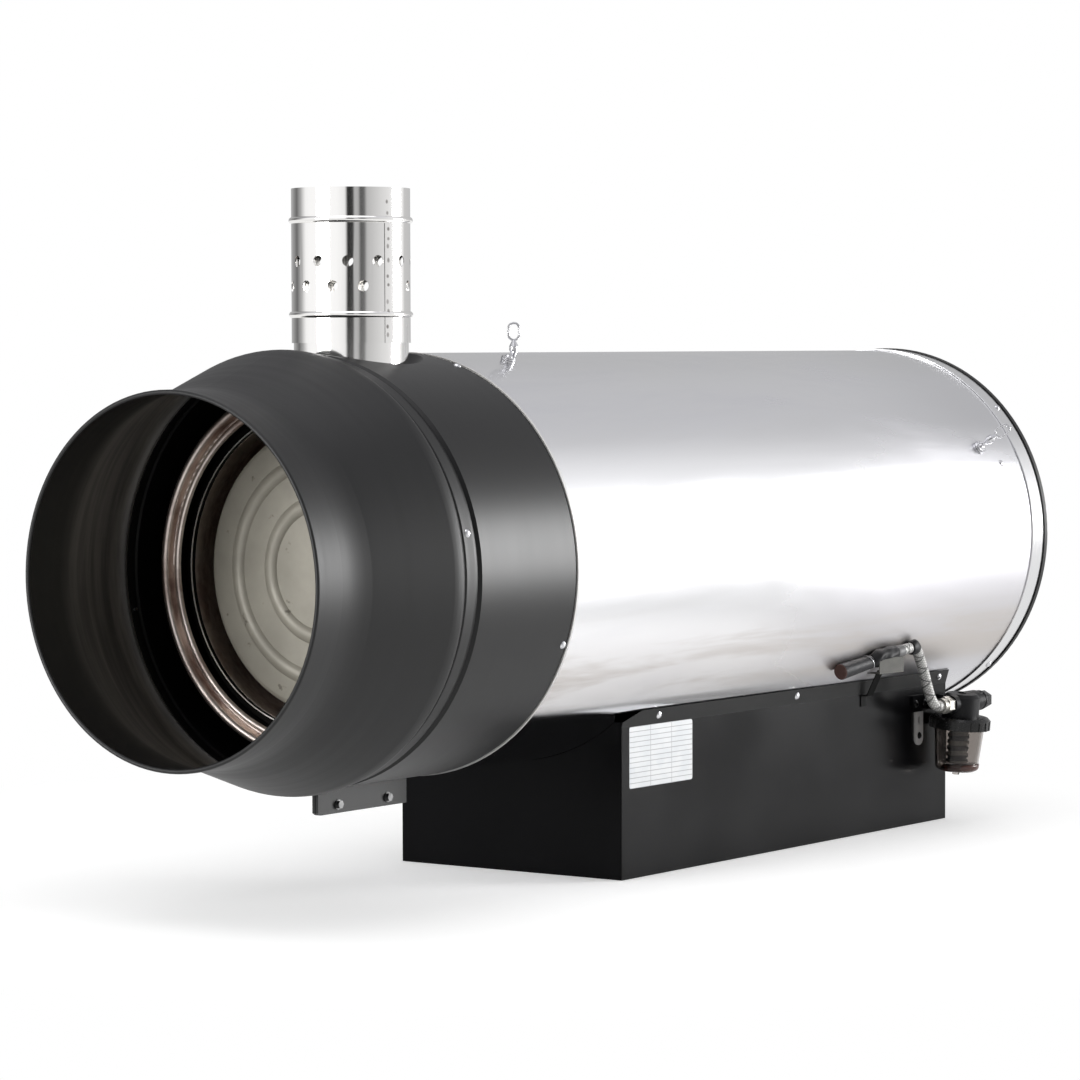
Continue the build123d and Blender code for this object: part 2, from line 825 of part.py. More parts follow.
# Combustion chamber: tube, rear plate round the flame tube, and two crossover ducts
tube_radius = chamber_radius - inner_sheet - seat_gap
tube_inner = tube_radius - chamber_sheet
tube_front = chamber_front + cap_knuckle + 4
crossover_reach = exchanger_inner - seat_gap
flame_hole_radius = duct_radius + seat_gap
crossover_plane = Plane(origin=(0, station(crossover_station), axis_height), z_dir=(1, 0, 0))
with BuildPart() as combustion_chamber:
    wall = outline(
        shell_plane,
        (tube_front, tube_radius),
        (chamber_rear, tube_radius),
        (chamber_rear, flame_hole_radius),
        (chamber_rear - chamber_sheet, flame_hole_radius),
        (chamber_rear - chamber_sheet, tube_inner),
        (tube_front, tube_inner),
    )
    revolve(wall, axis=heater_axis)
    with BuildSketch(crossover_plane):
        Circle(crossover_radius)
    extrude(amount=exchanger_radius, both=True)
    with BuildSketch(cross_plane(crossover_station + 2 * crossover_radius)):
        with Locations((0, axis_height)):
            Circle(2 * crossover_reach)
            Circle(crossover_reach, mode=Mode.SUBTRACT)
    extrude(amount=4 * crossover_radius, mode=Mode.SUBTRACT)
    with BuildSketch(cross_plane(crossover_station + 2 * crossover_radius)):
        with Locations((0, axis_height)):
            Circle(tube_inner)
    extrude(amount=4 * crossover_radius, mode=Mode.SUBTRACT)
    with BuildSketch(crossover_plane):
        Circle(crossover_radius - chamber_sheet)
    extrude(amount=exchanger_radius, both=True, mode=Mode.SUBTRACT)
save(combustion_chamber, "combustion_chamber")

# Cap of the chamber: two pressed rings, a knuckle and a skirt over the tube
knuckle_radius = chamber_radius - cap_knuckle
knuckle_station = chamber_front + cap_knuckle
cap_back = chamber_front + inner_sheet
cap_end = chamber_front + cap_skirt
cap_inner = chamber_radius - inner_sheet
half_turn = sin(radians(45))
inner_knuckle = (cap_knuckle - inner_sheet) * half_turn
outer_knuckle = cap_knuckle * half_turn
with BuildPart() as chamber_cap:
    with BuildSketch(shell_plane):
        with BuildLine():
            start = (chamber_front, 0)
            for ring in cap_bead_radii:
                flat = Line(start, (chamber_front, ring - cap_bead_half))
                crest = (chamber_front - cap_bead_rise, ring)
                bead = ThreePointArc(flat @ 1, crest, (chamber_front, ring + cap_bead_half))
                start = bead @ 1
            land = Line(start, (chamber_front, knuckle_radius))
            knuckle = ThreePointArc(
                land @ 1,
                (knuckle_station - outer_knuckle, knuckle_radius + outer_knuckle),
                (knuckle_station, chamber_radius),
            )
            skirt = Polyline(
                knuckle @ 1,
                (cap_end, chamber_radius),
                (cap_end, cap_inner),
                (knuckle_station, cap_inner),
            )
            inner_turn = ThreePointArc(
                skirt @ 1,
                (knuckle_station - inner_knuckle, knuckle_radius + inner_knuckle),
                (cap_back, knuckle_radius),
            )
            start = inner_turn @ 1
            for ring in reversed(cap_bead_radii):
                flat = Line(start, (cap_back, ring + cap_bead_half))
                crest = (cap_back - cap_bead_rise, ring)
                bead = ThreePointArc(flat @ 1, crest, (cap_back, ring - cap_bead_half))
                start = bead @ 1
            Polyline(start, (cap_back, 0), (chamber_front, 0))
        make_face()
    revolve(axis=heater_axis)
save(chamber_cap, "chamber_cap")

# Heat exchanger: ring-shaped gas jacket, closed behind, with ports for the stub and the crossovers
jacket_inner_wall = exchanger_inner + inner_sheet
jacket_outer_wall = exchanger_radius - inner_sheet
stub_bore = stub_radius - flue_sheet
with BuildPart() as heat_exchanger:
    wall = outline(
        shell_plane,
        (exchanger_front + jacket_lip, exchanger_radius),
        (exchanger_rear, exchanger_radius),
        (exchanger_rear, exchanger_inner),
        (exchanger_front + jacket_recess, exchanger_inner),
        (exchanger_front + jacket_recess, jacket_inner_wall),
        (exchanger_rear - inner_sheet, jacket_inner_wall),
        (exchanger_rear - inner_sheet, jacket_outer_wall),
        (exchanger_front + jacket_lip, jacket_outer_wall),
    )
    revolve(wall, axis=heater_axis)
    with Locations((0, station(flue_station), axis_height + exchanger_radius)):
        Cylinder(stub_bore, 2 * (exchanger_radius - jacket_inner_wall) - inner_sheet, mode=Mode.SUBTRACT)
    with BuildSketch(crossover_plane):
        Circle(crossover_radius - chamber_sheet)
    extrude(amount=(jacket_inner_wall + jacket_outer_wall) / 2, both=True, mode=Mode.SUBTRACT)
save(heat_exchanger, "heat_exchanger")

# Front ring of the exchanger: skirt inside the jacket, two rolled beads and a hem round the dish
ring_radius = jacket_outer_wall - seat_gap
hem_radius = exchanger_inner + 0.3
hem_station = exchanger_front + 5
ring_back = exchanger_front + jacket_recess - 0.5
outer_roll = 5.5
valley_roll = 2.5
inner_roll = 4.5
outer_roll_station = front_ring_edge + outer_roll
valley_station = exchanger_front - 2
inner_roll_station = valley_station - 2
outer_roll_radius = ring_radius - outer_roll
valley_radius = outer_roll_radius - outer_roll - valley_roll
inner_roll_radius = valley_radius - valley_roll - inner_roll
dish_radius = inner_roll_radius - inner_roll
outer_back_radius = outer_roll_radius - outer_roll + inner_sheet
with BuildPart() as exchanger_front_ring:
    with BuildSketch(shell_plane):
        with BuildLine():
            outer_bead = ThreePointArc(
                (outer_roll_station, ring_radius),
                (front_ring_edge, outer_roll_radius),
                (outer_roll_station, outer_roll_radius - outer_roll),
            )
            into_valley = Line(outer_bead @ 1, (valley_station, valley_radius + valley_roll))
            valley = ThreePointArc(
                into_valley @ 1,
                (valley_station + valley_roll, valley_radius),
                (valley_station, valley_radius - valley_roll),
            )
            out_of_valley = Line(valley @ 1, (inner_roll_station, inner_roll_radius + inner_roll))
            inner_bead = ThreePointArc(
                out_of_valley @ 1,
                (inner_roll_station - inner_roll, inner_roll_radius),
                (inner_roll_station, dish_radius),
            )
            hem = Polyline(
                inner_bead @ 1,
                (ring_back - inner_sheet, dish_radius),
                (ring_back - inner_sheet, hem_radius + inner_sheet),
                (hem_station, hem_radius + inner_sheet),
                (hem_station, hem_radius),
                (ring_back, hem_radius),
                (ring_back, dish_radius + inner_sheet),
                (inner_roll_station, dish_radius + inner_sheet),
            )
            back_inner = ThreePointArc(
                hem @ 1,
                (inner_roll_station - inner_roll + inner_sheet, inner_roll_radius),
                (inner_roll_station, inner_roll_radius + inner_roll - inner_sheet),
            )
            back_out = Line(back_inner @ 1, (valley_station, valley_radius - valley_roll - inner_sheet))
            back_valley = ThreePointArc(
                back_out @ 1,
                (valley_station + valley_roll + inner_sheet, valley_radius),
                (valley_station, valley_radius + valley_roll + inner_sheet),
            )
            back_rise = Line(back_valley @ 1, (outer_roll_station, outer_back_radius))
            back_outer = ThreePointArc(
                back_rise @ 1,
                (front_ring_edge + inner_sheet, outer_roll_radius),
                (outer_roll_station, ring_radius - inner_sheet),
            )
            Polyline(
                back_outer @ 1,
                (exchanger_front + ring_skirt, ring_radius - inner_sheet),
                (exchanger_front + ring_skirt, ring_radius),
                outer_bead @ 0,
            )
        make_face()
    revolve(axis=heater_axis)
save(exchanger_front_ring, "exchanger_front_ring")

# Brackets: the jacket stands in the shell on the outer ones, the chamber in the jacket on the inner ones
front_bracket_station = band_end - 4 - bracket_length / 2
bracket_rows = [
    (band_screw_angle, front_bracket_station, exchanger_radius, casing_radius - cover_sheet),
    (band_screw_angle, rear_bracket_station, exchanger_radius, casing_inner),
    (chamber_bracket_angle, front_bracket_station, tube_radius, exchanger_inner),
    (chamber_bracket_angle, rear_bracket_station, tube_radius, exchanger_inner),
]
with BuildPart() as exchanger_brackets:
    for angle, distance, inside, outside in bracket_rows:
        bracket_foot_radius = sqrt((outside - seat_gap) ** 2 - (bracket_foot / 2) ** 2)
        web_inner = inside + seat_gap
        web = bracket_foot_radius - web_inner
        with Locations(*screw_places(angle, distance, web_inner + web / 2)):
            Box(bracket_length, bracket_sheet, web)
        with Locations(*screw_places(angle, distance, bracket_foot_radius - inner_sheet / 2)):
            Box(bracket_length, bracket_foot, inner_sheet)
    with Locations(*band_screws_at):
        Cylinder(screw_hole_radius, 2 * screw_length + 1, mode=Mode.SUBTRACT)
save(exchanger_brackets, "exchanger_brackets")

# Flue stub: seated on the jacket, through the funnel, flared where it centres the flue pipe
pipe_bore = flue_radius - flue_sheet
flare_radius = pipe_bore - seat_gap
flare_start = flue_foot + stub_flare_lift - axis_height
flare_end = flare_start + stub_flare_length
stub_top = flue_foot + stub_insertion - axis_height
stub_seat = exchanger_radius + seat_gap
with BuildPart() as flue_stub:
    wall = outline(
        flue_plane,
        (stub_radius, exchanger_radius / 2),
        (stub_radius, flare_start - 3),
        (flare_radius, flare_start),
        (flare_radius, flare_end),
        (stub_radius, flare_end + 3),
        (stub_radius, stub_top),
        (stub_bore, stub_top),
        (stub_bore, flare_end + 3),
        (flare_radius - flue_sheet, flare_end),
        (flare_radius - flue_sheet, flare_start),
        (stub_bore, flare_start - 3),
        (stub_bore, exchanger_radius / 2),
    )
    revolve(wall, axis=flue_axis)
    with BuildSketch(cross_plane(flue_station + 2 * stub_radius)):
        with Locations((0, axis_height)):
            Circle(stub_seat)
    extrude(amount=4 * stub_radius, mode=Mode.SUBTRACT)
save(flue_stub, "flue_stub")

# Flue pipe: two swaged beads, a lap seam and two rows of draught holes
upper_bead = flue_top - upper_bead_drop - axis_height
lower_bead = flue_foot + lower_bead_lift - axis_height
pipe_foot = flue_foot - axis_height
pipe_top = flue_top - axis_height


def around_flue(angle, radius, height):
    """Plane on the flue, its z pointing away from the flue's axis."""
    outward = Vector(cos(radians(angle)), sin(radians(angle)), 0)
    foot = Vector(0, station(flue_station), height) + outward * radius
    return Plane(origin=foot, x_dir=(0, 0, 1), z_dir=outward)


hole_half_angle = degrees(draught_hole_radius / flue_radius)
hole_rows = ((upper_row_turn, flue_foot + upper_row_lift), (lower_row_turn, flue_foot + lower_row_lift))
draught_holes = []
for first_angle, row_height in hole_rows:
    for k in range(draught_holes_per_row):
        angle = first_angle + k * 360 / draught_holes_per_row
        from_seam = abs((angle - seam_angle + 180) % 360 - 180)
        if from_seam > seam_sweep / 2 + hole_half_angle:
            draught_holes.append(around_flue(angle, flue_radius, row_height))
with BuildPart() as flue_pipe:
    with BuildSketch(flue_plane):
        with BuildLine():
            corner = (flue_radius, pipe_foot)
            for bead in (lower_bead, upper_bead):
                rise = Line(corner, (flue_radius, bead - flue_bead_half))
                crest = (flue_radius + flue_bead_rise, bead)
                swage = ThreePointArc(rise @ 1, crest, (flue_radius, bead + flue_bead_half))
                corner = swage @ 1
            top = Polyline(corner, (flue_radius, pipe_top), (pipe_bore, pipe_top))
            corner = top @ 1
            for bead in (upper_bead, lower_bead):
                fall = Line(corner, (pipe_bore, bead + flue_bead_half))
                crest = (pipe_bore + flue_bead_rise, bead)
                swage = ThreePointArc(fall @ 1, crest, (pipe_bore, bead - flue_bead_half))
                corner = swage @ 1
            Polyline(corner, (pipe_bore, pipe_foot), (flue_radius, pipe_foot))
        make_face()
    revolve(axis=flue_axis)
    seam_start = radians(seam_angle - seam_sweep / 2)
    seam_plane = Plane(
        origin=flue_plane.origin,
        x_dir=(cos(seam_start), sin(seam_start), 0),
        z_dir=(sin(seam_start), -cos(seam_start), 0),
    )
    seam = outline(
        seam_plane,
        (flue_radius - flue_sheet / 2, pipe_foot),
        (flue_radius + seam_rise, pipe_foot),
        (flue_radius + seam_rise, upper_bead - flue_bead_half - 1),
        (flue_radius - flue_sheet / 2, upper_bead - flue_bead_half - 1),
    )
    revolve(seam, axis=flue_axis, revolution_arc=seam_sweep)
    with Locations(*draught_holes):
        Cylinder(draught_hole_radius, 6 * flue_sheet, mode=Mode.SUBTRACT)
save(flue_pipe, "flue_pipe")

# Base pan: floor, and the front panel cut to the casing with its return flanges
inner_half = box_half_width - cover_sheet - seat_gap
rail_bottom = panel_top - rail_drop
return_top = rail_bottom - 4
return_places = [side * (inner_half - cover_sheet / 2) for side in (1, -1)]
with BuildPart() as base_pan:
    with Locations((0, station(box_front + box_length / 2), cover_sheet / 2)):
        Box(2 * inner_half, box_length, cover_sheet)
    with BuildSketch(cross_plane(box_front + cover_sheet)):
        with Locations((0, panel_top / 2)):
            Rectangle(2 * inner_half, panel_top)
        with Locations((0, axis_height)):
            Circle(saddle_radius, mode=Mode.SUBTRACT)
    extrude(amount=cover_sheet)
    with Locations(*[(x, station(box_front + panel_return / 2), return_top / 2) for x in return_places]):
        Box(cover_sheet, panel_return, return_top)
save(base_pan, "base_pan")

# Rear panel, which stands on the pan's floor and carries the gland
rear_panel_foot = cover_sheet + seat_gap
rear_panel_mid = (rear_panel_foot + panel_top) / 2
rear_return_mid = (rear_panel_foot + return_top) / 2
gland_x = gland_inset - box_half_width
gland_hole_radius = gland_radius + seat_gap
with BuildPart() as rear_panel:
    with BuildSketch(cross_plane(box_rear)):
        with Locations((0, rear_panel_mid)):
            Rectangle(2 * inner_half, panel_top - rear_panel_foot)
        with Locations((0, axis_height)):
            Circle(saddle_radius, mode=Mode.SUBTRACT)
    extrude(amount=cover_sheet)
    with Locations(*[(x, station(box_rear - panel_return / 2), rear_return_mid) for x in return_places]):
        Box(cover_sheet, panel_return, return_top - rear_panel_foot)
    with Locations(Plane(origin=(gland_x, station(box_rear), gland_height), z_dir=(0, 1, 0))):
        Cylinder(gland_hole_radius, 4 * cover_sheet, mode=Mode.SUBTRACT)
save(rear_panel, "rear_panel")

# Screws along the leaning top strips of the covers, and the one that holds the filter's strip
strip_lean = cover_lean / strip_height
lean_length = sqrt(1 + strip_lean**2)
strip_face = box_half_width + strip_lean * (cover_screw_height - cover_bend_height)
strip_top = port_height - bracket_plate_height / 2 - seat_gap
strip_screw_height = strip_top - strip_screw_drop
strip_screw_at = Plane(
    origin=(box_half_width + strip_sheet, station(strip_station), strip_screw_height),
    x_dir=(0, 1, 0),
    z_dir=(1, 0, 0),
)


def cover_screws_at(side):
    """Planes of the screws in one cover's top strip, square to the leaning strip."""
    return [
        Plane(
            origin=(side * strip_face, station(at), cover_screw_height),
            x_dir=(0, 1, 0),
            z_dir=(side / lean_length, 0, -strip_lean / lean_length),
        )
        for at in cover_screw_stations
    ]


bracket_screws_at = [
    Plane(
        origin=(box_half_width + bracket_plate, station(at), port_height),
        x_dir=(0, 1, 0),
        z_dir=(1, 0, 0),
    )
    for at in (bracket_plate_front + 9, bracket_plate_front + 34)
]
with BuildPart() as cover_screws:
    with Locations(*cover_screws_at(1), *cover_screws_at(-1), strip_screw_at, *bracket_screws_at):
        add(shell_screw.part)
save(cover_screws, "cover_screws")

# Cradle: two rails with pads that follow the casing, and the saddle plates between them
rail_front = box_front + cover_corner + 4
rail_rear = box_rear - cover_sheet - 1
rail_face = inner_half - saddle_sheet
rail_top = axis_height - sqrt(saddle_radius**2 - rail_face**2)
with BuildPart() as cradle:
    with BuildSketch(cross_plane(rail_rear)):
        with Locations((0, axis_height)):
            Circle(saddle_radius + saddle_sheet)
            Circle(saddle_radius, mode=Mode.SUBTRACT)
        with Locations((0, rail_bottom)):
            Rectangle(2 * inner_half, 4 * rail_drop, mode=Mode.INTERSECT)
        with Locations((0, rail_bottom)):
            Rectangle(2 * (inner_half - rail_width), 8 * rail_drop, mode=Mode.SUBTRACT)
        with Locations(
            (inner_half - saddle_sheet / 2, (rail_bottom + rail_top) / 2),
            (saddle_sheet / 2 - inner_half, (rail_bottom + rail_top) / 2),
        ):
            Rectangle(saddle_sheet, rail_top - rail_bottom)
    extrude(amount=rail_rear - rail_front)
    for at in saddle_stations:
        with BuildSketch(cross_plane(at + saddle_sheet / 2)):
            with Locations((0, (cover_sheet + panel_top) / 2)):
                Rectangle(2 * inner_half, panel_top - cover_sheet)
            with Locations((0, axis_height)):
                Circle(saddle_radius, mode=Mode.SUBTRACT)
            with Locations((0, saddle_window_height / 2 + saddle_window_foot)):
                RectangleRounded(saddle_window_width, saddle_window_height, 12, mode=Mode.SUBTRACT)
        extrude(amount=saddle_sheet)
    with Locations(*cover_screws_at(1), *cover_screws_at(-1)):
        Cylinder(screw_hole_radius, 2 * screw_length, mode=Mode.SUBTRACT)
save(cradle, "cradle")

# Side covers: flat sheets whose top strips lean out, with a cut front corner and their own holes
nipple_hole_radius = nipple_radius + seat_gap
knob_hole_radius = knob_shaft_radius + seat_gap
reset_hole_radius = reset_radius + seat_gap
lamp_hole_radius = lamp_shank_radius + seat_gap


def control_place(setback, lift):
    """Plane on the left cover's outside, measured from the control box's front and bottom."""
    foot = (-box_half_width, station(control_front + setback), control_bottom + lift)
    return Plane(origin=foot, x_dir=(0, -1, 0), z_dir=(-1, 0, 0))


knob_place = control_place(knob_setback, knob_lift)
reset_place = control_place(reset_setback, knob_lift)
socket_place = control_place(socket_setback, socket_lift)
lamp_places = [control_place(setback, knob_lift) for setback in lamp_setbacks]
nipple_place = Plane(
    origin=(box_half_width, station(filter_station), nipple_height), x_dir=(0, 1, 0), z_dir=(1, 0, 0)
)
wall_cut = 8 * cover_sheet


def cover_profile(side):
    """Section of a side cover, looking along the heater."""
    outer = side * box_half_width
    inner = side * (box_half_width - cover_sheet)
    lean = side * cover_lean
    return outline(
        cross_plane(box_rear),
        (inner, 0),
        (outer, 0),
        (outer, cover_bend_height),
        (outer + lean, cover_top),
        (inner + lean, cover_top),
        (inner, cover_bend_height),
    )


corner_cut = outline(
    Plane(origin=(0, station(0), 0), x_dir=(0, 1, 0), z_dir=(1, 0, 0)),
    (box_front - 5, panel_top),
    (box_front, panel_top),
    (box_front + cover_corner, cover_top),
    (box_front + cover_corner, cover_top + 20),
    (box_front - 5, cover_top + 20),
)
with BuildPart() as side_cover_right:
    extrude(cover_profile(1), amount=box_length)
    extrude(corner_cut, amount=2 * box_half_width, both=True, mode=Mode.SUBTRACT)
    with Locations(*cover_screws_at(1), strip_screw_at, *bracket_screws_at):
        Cylinder(screw_hole_radius, 4 * screw_length, mode=Mode.SUBTRACT)
    with Locations(nipple_place):
        Cylinder(nipple_hole_radius, wall_cut, mode=Mode.SUBTRACT)
save(side_cover_right, "side_cover_right")

with BuildPart() as side_cover_left:
    extrude(cover_profile(-1), amount=box_length)
    extrude(corner_cut, amount=2 * box_half_width, both=True, mode=Mode.SUBTRACT)
    with Locations(*cover_screws_at(-1)):
        Cylinder(screw_hole_radius, 4 * screw_length, mode=Mode.SUBTRACT)
    with Locations(knob_place):
        Cylinder(knob_hole_radius, wall_cut, mode=Mode.SUBTRACT)
    with Locations(reset_place):
        Cylinder(reset_hole_radius, wall_cut, mode=Mode.SUBTRACT)
    with Locations(*lamp_places):
        Cylinder(lamp_hole_radius, wall_cut, mode=Mode.SUBTRACT)
    with Locations(socket_place):
        Cylinder(socket_hole_radius, wall_cut, mode=Mode.SUBTRACT)
save(side_cover_left, "side_cover_left")

# Control box behind the left cover, with the bearings of the knob and the reset button
control_middle = (
    control_depth / 2 - inner_half,
    station(control_front + control_length / 2),
    control_bottom + control_height / 2,
)
knob_bore = knob_shaft_radius + running_gap
reset_bore = reset_radius + running_gap
with BuildPart() as control_box:
    with Locations(control_middle):
        Box(control_depth, control_length, control_height)
        Box(
            control_depth - 2 * control_wall,
            control_length - 2 * control_wall,
            control_height - 2 * control_wall,
            mode=Mode.SUBTRACT,
        )
    boss_rim = cover_sheet + seat_gap
    for place, bore in ((knob_place, knob_bore), (reset_place, reset_bore)):
        with BuildSketch(place.offset(-boss_rim)):
            Circle(bore + 4)
        extrude(amount=-boss_depth)
        with BuildSketch(place.offset(-boss_rim)):
            Circle(bore)
        extrude(amount=-boss_depth + control_wall, mode=Mode.SUBTRACT)
    face_cut = 2 * (boss_rim + control_wall + 1)
    with Locations(*lamp_places):
        Cylinder(lamp_hole_radius, face_cut, mode=Mode.SUBTRACT)
    with Locations(socket_place):
        Cylinder(socket_hole_radius, face_cut, mode=Mode.SUBTRACT)
save(control_box, "control_box")

# Selector knob with a pointer rib, on its shaft
with BuildPart() as selector_knob:
    with BuildSketch(knob_place.offset(seat_gap)):
        Circle(knob_radius)
    extrude(amount=0.45 * knob_depth)
    with BuildSketch(knob_place.offset(seat_gap + 0.45 * knob_depth)):
        SlotOverall(2 * knob_radius - 3, 0.5 * knob_radius, rotation=90)
    extrude(amount=0.55 * knob_depth)
    with BuildSketch(knob_place.offset(seat_gap)):
        Circle(knob_shaft_radius)
    extrude(amount=-boss_rim - boss_depth + control_wall + 1)
save(selector_knob, "selector_knob")

# Reset button: sprung, so its bore is deeper than it is pressed
with BuildPart() as reset_button:
    with BuildSketch(reset_place.offset(reset_height)):
        Circle(reset_radius)
    extrude(amount=-reset_stem - reset_height)
save(reset_button, "reset_button")

# Indicator lamps: domed lenses with shanks through the cover
with BuildPart() as lamp:
    with BuildSketch(Plane.XZ):
        with BuildLine():
            lens = ThreePointArc((0, 5), (0.75 * lamp_radius, 3.4), (lamp_radius, 0))
            Polyline(
                lens @ 1,
                (lamp_shank_radius, 0),
                (lamp_shank_radius, -boss_rim - control_wall),
                (0, -boss_rim - control_wall),
                lens @ 0,
            )
        make_face()
    revolve(axis=Axis.Z)
with BuildPart() as indicator_lamps:
    with Locations(*lamp_places):
        add(lamp.part)
save(indicator_lamps, "indicator_lamps")

# Thermostat socket: flange, body and two pin holes
with BuildPart() as thermostat_socket:
    with BuildSketch(socket_place):
        Circle(socket_radius)
    extrude(amount=4)
    with BuildSketch(socket_place.offset(4)):
        Circle(0.8 * socket_radius)
        Circle(0.62 * socket_radius, mode=Mode.SUBTRACT)
    extrude(amount=6)
    with BuildSketch(socket_place):
        Circle(socket_hole_radius - seat_gap)
    extrude(amount=-boss_rim - control_wall)
    with BuildSketch(socket_place.offset(4)):
        with GridLocations(0.5 * socket_radius, 0, 2, 1):
            Circle(1.5)
    extrude(amount=-6, mode=Mode.SUBTRACT)
save(thermostat_socket, "thermostat_socket")

# Gland for the mains cable in the rear panel: lock nut, thread, hexagon and dome round an open bore
gland_place = Plane(origin=(gland_x, station(box_rear), gland_height), x_dir=(1, 0, 0), z_dir=(0, 1, 0))
with BuildPart() as cable_gland:
    with BuildSketch(gland_place):
        RegularPolygon(1.5 * gland_radius, 6)
    extrude(amount=gland_hexagon)
    with BuildSketch(gland_place.offset(gland_hexagon)):
        Circle(1.2 * gland_radius)
    extrude(amount=gland_dome, taper=12)
    with BuildSketch(gland_place):
        Circle(gland_radius)
    extrude(amount=-cover_sheet - gland_thread)
    with BuildSketch(gland_place.offset(-cover_sheet)):
        RegularPolygon(1.45 * gland_radius, 6)
    extrude(amount=-gland_thread / 2)
    with Locations(gland_place):
        Cylinder(gland_bore, 4 * (gland_hexagon + gland_dome), mode=Mode.SUBTRACT)
save(cable_gland, "cable_gland")

# Burner blower: round housing with a straight neck up, a foot, and a hollow for the wheel
blower_front = duct_station - blower_half_width
blower_rear = duct_station + blower_half_width
burner_shaft_hole = burner_shaft_radius + 2
with BuildPart() as blower_housing:
    drum = outline(
        burner_plane,
        (blower_front, 0),
        (blower_front, blower_radius),
        (blower_rear, blower_radius),
        (blower_rear, 0),
    )
    revolve(drum, axis=burner_axis)
    with Locations((0, station(duct_station), (burner_height + blower_top - 10) / 2)):
        Box(2 * (duct_radius + 2), 2 * blower_half_width, blower_top - 10 - burner_height)
    with BuildSketch(Plane(origin=(0, station(duct_station), blower_top - 12))):
        Circle(duct_radius + 2)
    extrude(amount=12)
    with Locations((burner_x, station(duct_station), (burner_height + cover_sheet) / 2)):
        Box(blower_radius, 2 * blower_half_width, burner_height - cover_sheet)
    hollow = outline(
        burner_plane,
        (blower_front + blower_wall, 0),
        (blower_front + blower_wall, blower_radius - blower_wall),
        (blower_rear - blower_wall, blower_radius - blower_wall),
        (blower_rear - blower_wall, 0),
    )
    revolve(hollow, axis=burner_axis, mode=Mode.SUBTRACT)
    with BuildSketch(Plane(origin=(0, station(duct_station), burner_height))):
        Circle(duct_radius - cover_sheet)
    extrude(amount=blower_top - burner_height + 1, mode=Mode.SUBTRACT)
    with Locations(Plane(origin=(burner_x, station(blower_front), burner_height), z_dir=(0, 1, 0))):
        Cylinder(0.6 * wheel_radius, 3 * blower_wall, mode=Mode.SUBTRACT)
    with Locations(Plane(origin=(burner_x, station(blower_rear), burner_height), z_dir=(0, 1, 0))):
        Cylinder(burner_shaft_hole, 3 * blower_wall, mode=Mode.SUBTRACT)
save(blower_housing, "blower_housing")

# Blower wheel: back disc, front ring, curved rows of straight blades, hub and the burner's shaft
burner_motor_front = blower_rear + seat_gap
shaft_front = blower_front - 22
shaft_rear = burner_motor_front + 60
wheel_front = duct_station - wheel_width / 2
wheel_rear = duct_station + wheel_width / 2
wheel_plane = Plane(origin=(burner_x, station(wheel_rear), burner_height), x_dir=(1, 0, 0), z_dir=(0, -1, 0))
with BuildPart() as blower_wheel:
    core = outline(
        burner_plane,
        (shaft_front, 0),
        (shaft_front, burner_shaft_radius),
        (wheel_front + 20, burner_shaft_radius),
        (wheel_front + 20, 2.4 * burner_shaft_radius),
        (wheel_rear - 3, 3 * burner_shaft_radius),
        (wheel_rear - 3, wheel_radius),
        (wheel_rear, wheel_radius),
        (wheel_rear, burner_shaft_radius),
        (shaft_rear, burner_shaft_radius),
        (shaft_rear, 0),
    )
    revolve(core, axis=burner_axis)
    with BuildSketch(wheel_plane):
        with PolarLocations(wheel_radius - wheel_blade_depth / 2, wheel_blades):
            Rectangle(wheel_blade_depth, 1.5, rotation=28)
    extrude(amount=wheel_width)
    front_ring = outline(
        burner_plane,
        (wheel_front, wheel_radius - wheel_blade_depth),
        (wheel_front, wheel_radius),
        (wheel_front + 2, wheel_radius),
        (wheel_front + 2, wheel_radius - wheel_blade_depth),
    )
    revolve(front_ring, axis=burner_axis)
save(blower_wheel, "blower_wheel")

# Burner motor behind the blower, with the bore of the shaft
burner_bore = burner_shaft_radius + running_gap
burner_motor_rear = burner_motor_front + burner_motor_length
with BuildPart() as burner_motor:
    body = outline(
        burner_plane,
        (burner_motor_front, burner_bore),
        (burner_motor_front, burner_motor_radius + 8),
        (burner_motor_front + 8, burner_motor_radius + 8),
        (burner_motor_front + 10, burner_motor_radius),
        (burner_motor_rear - 14, burner_motor_radius),
        (burner_motor_rear - 4, 0.86 * burner_motor_radius),
        (burner_motor_rear, 0.7 * burner_motor_radius),
        (burner_motor_rear, 0),
        (shaft_rear + 1, 0),
        (shaft_rear + 1, burner_bore),
    )
    revolve(body, axis=burner_axis)
save(burner_motor, "burner_motor")

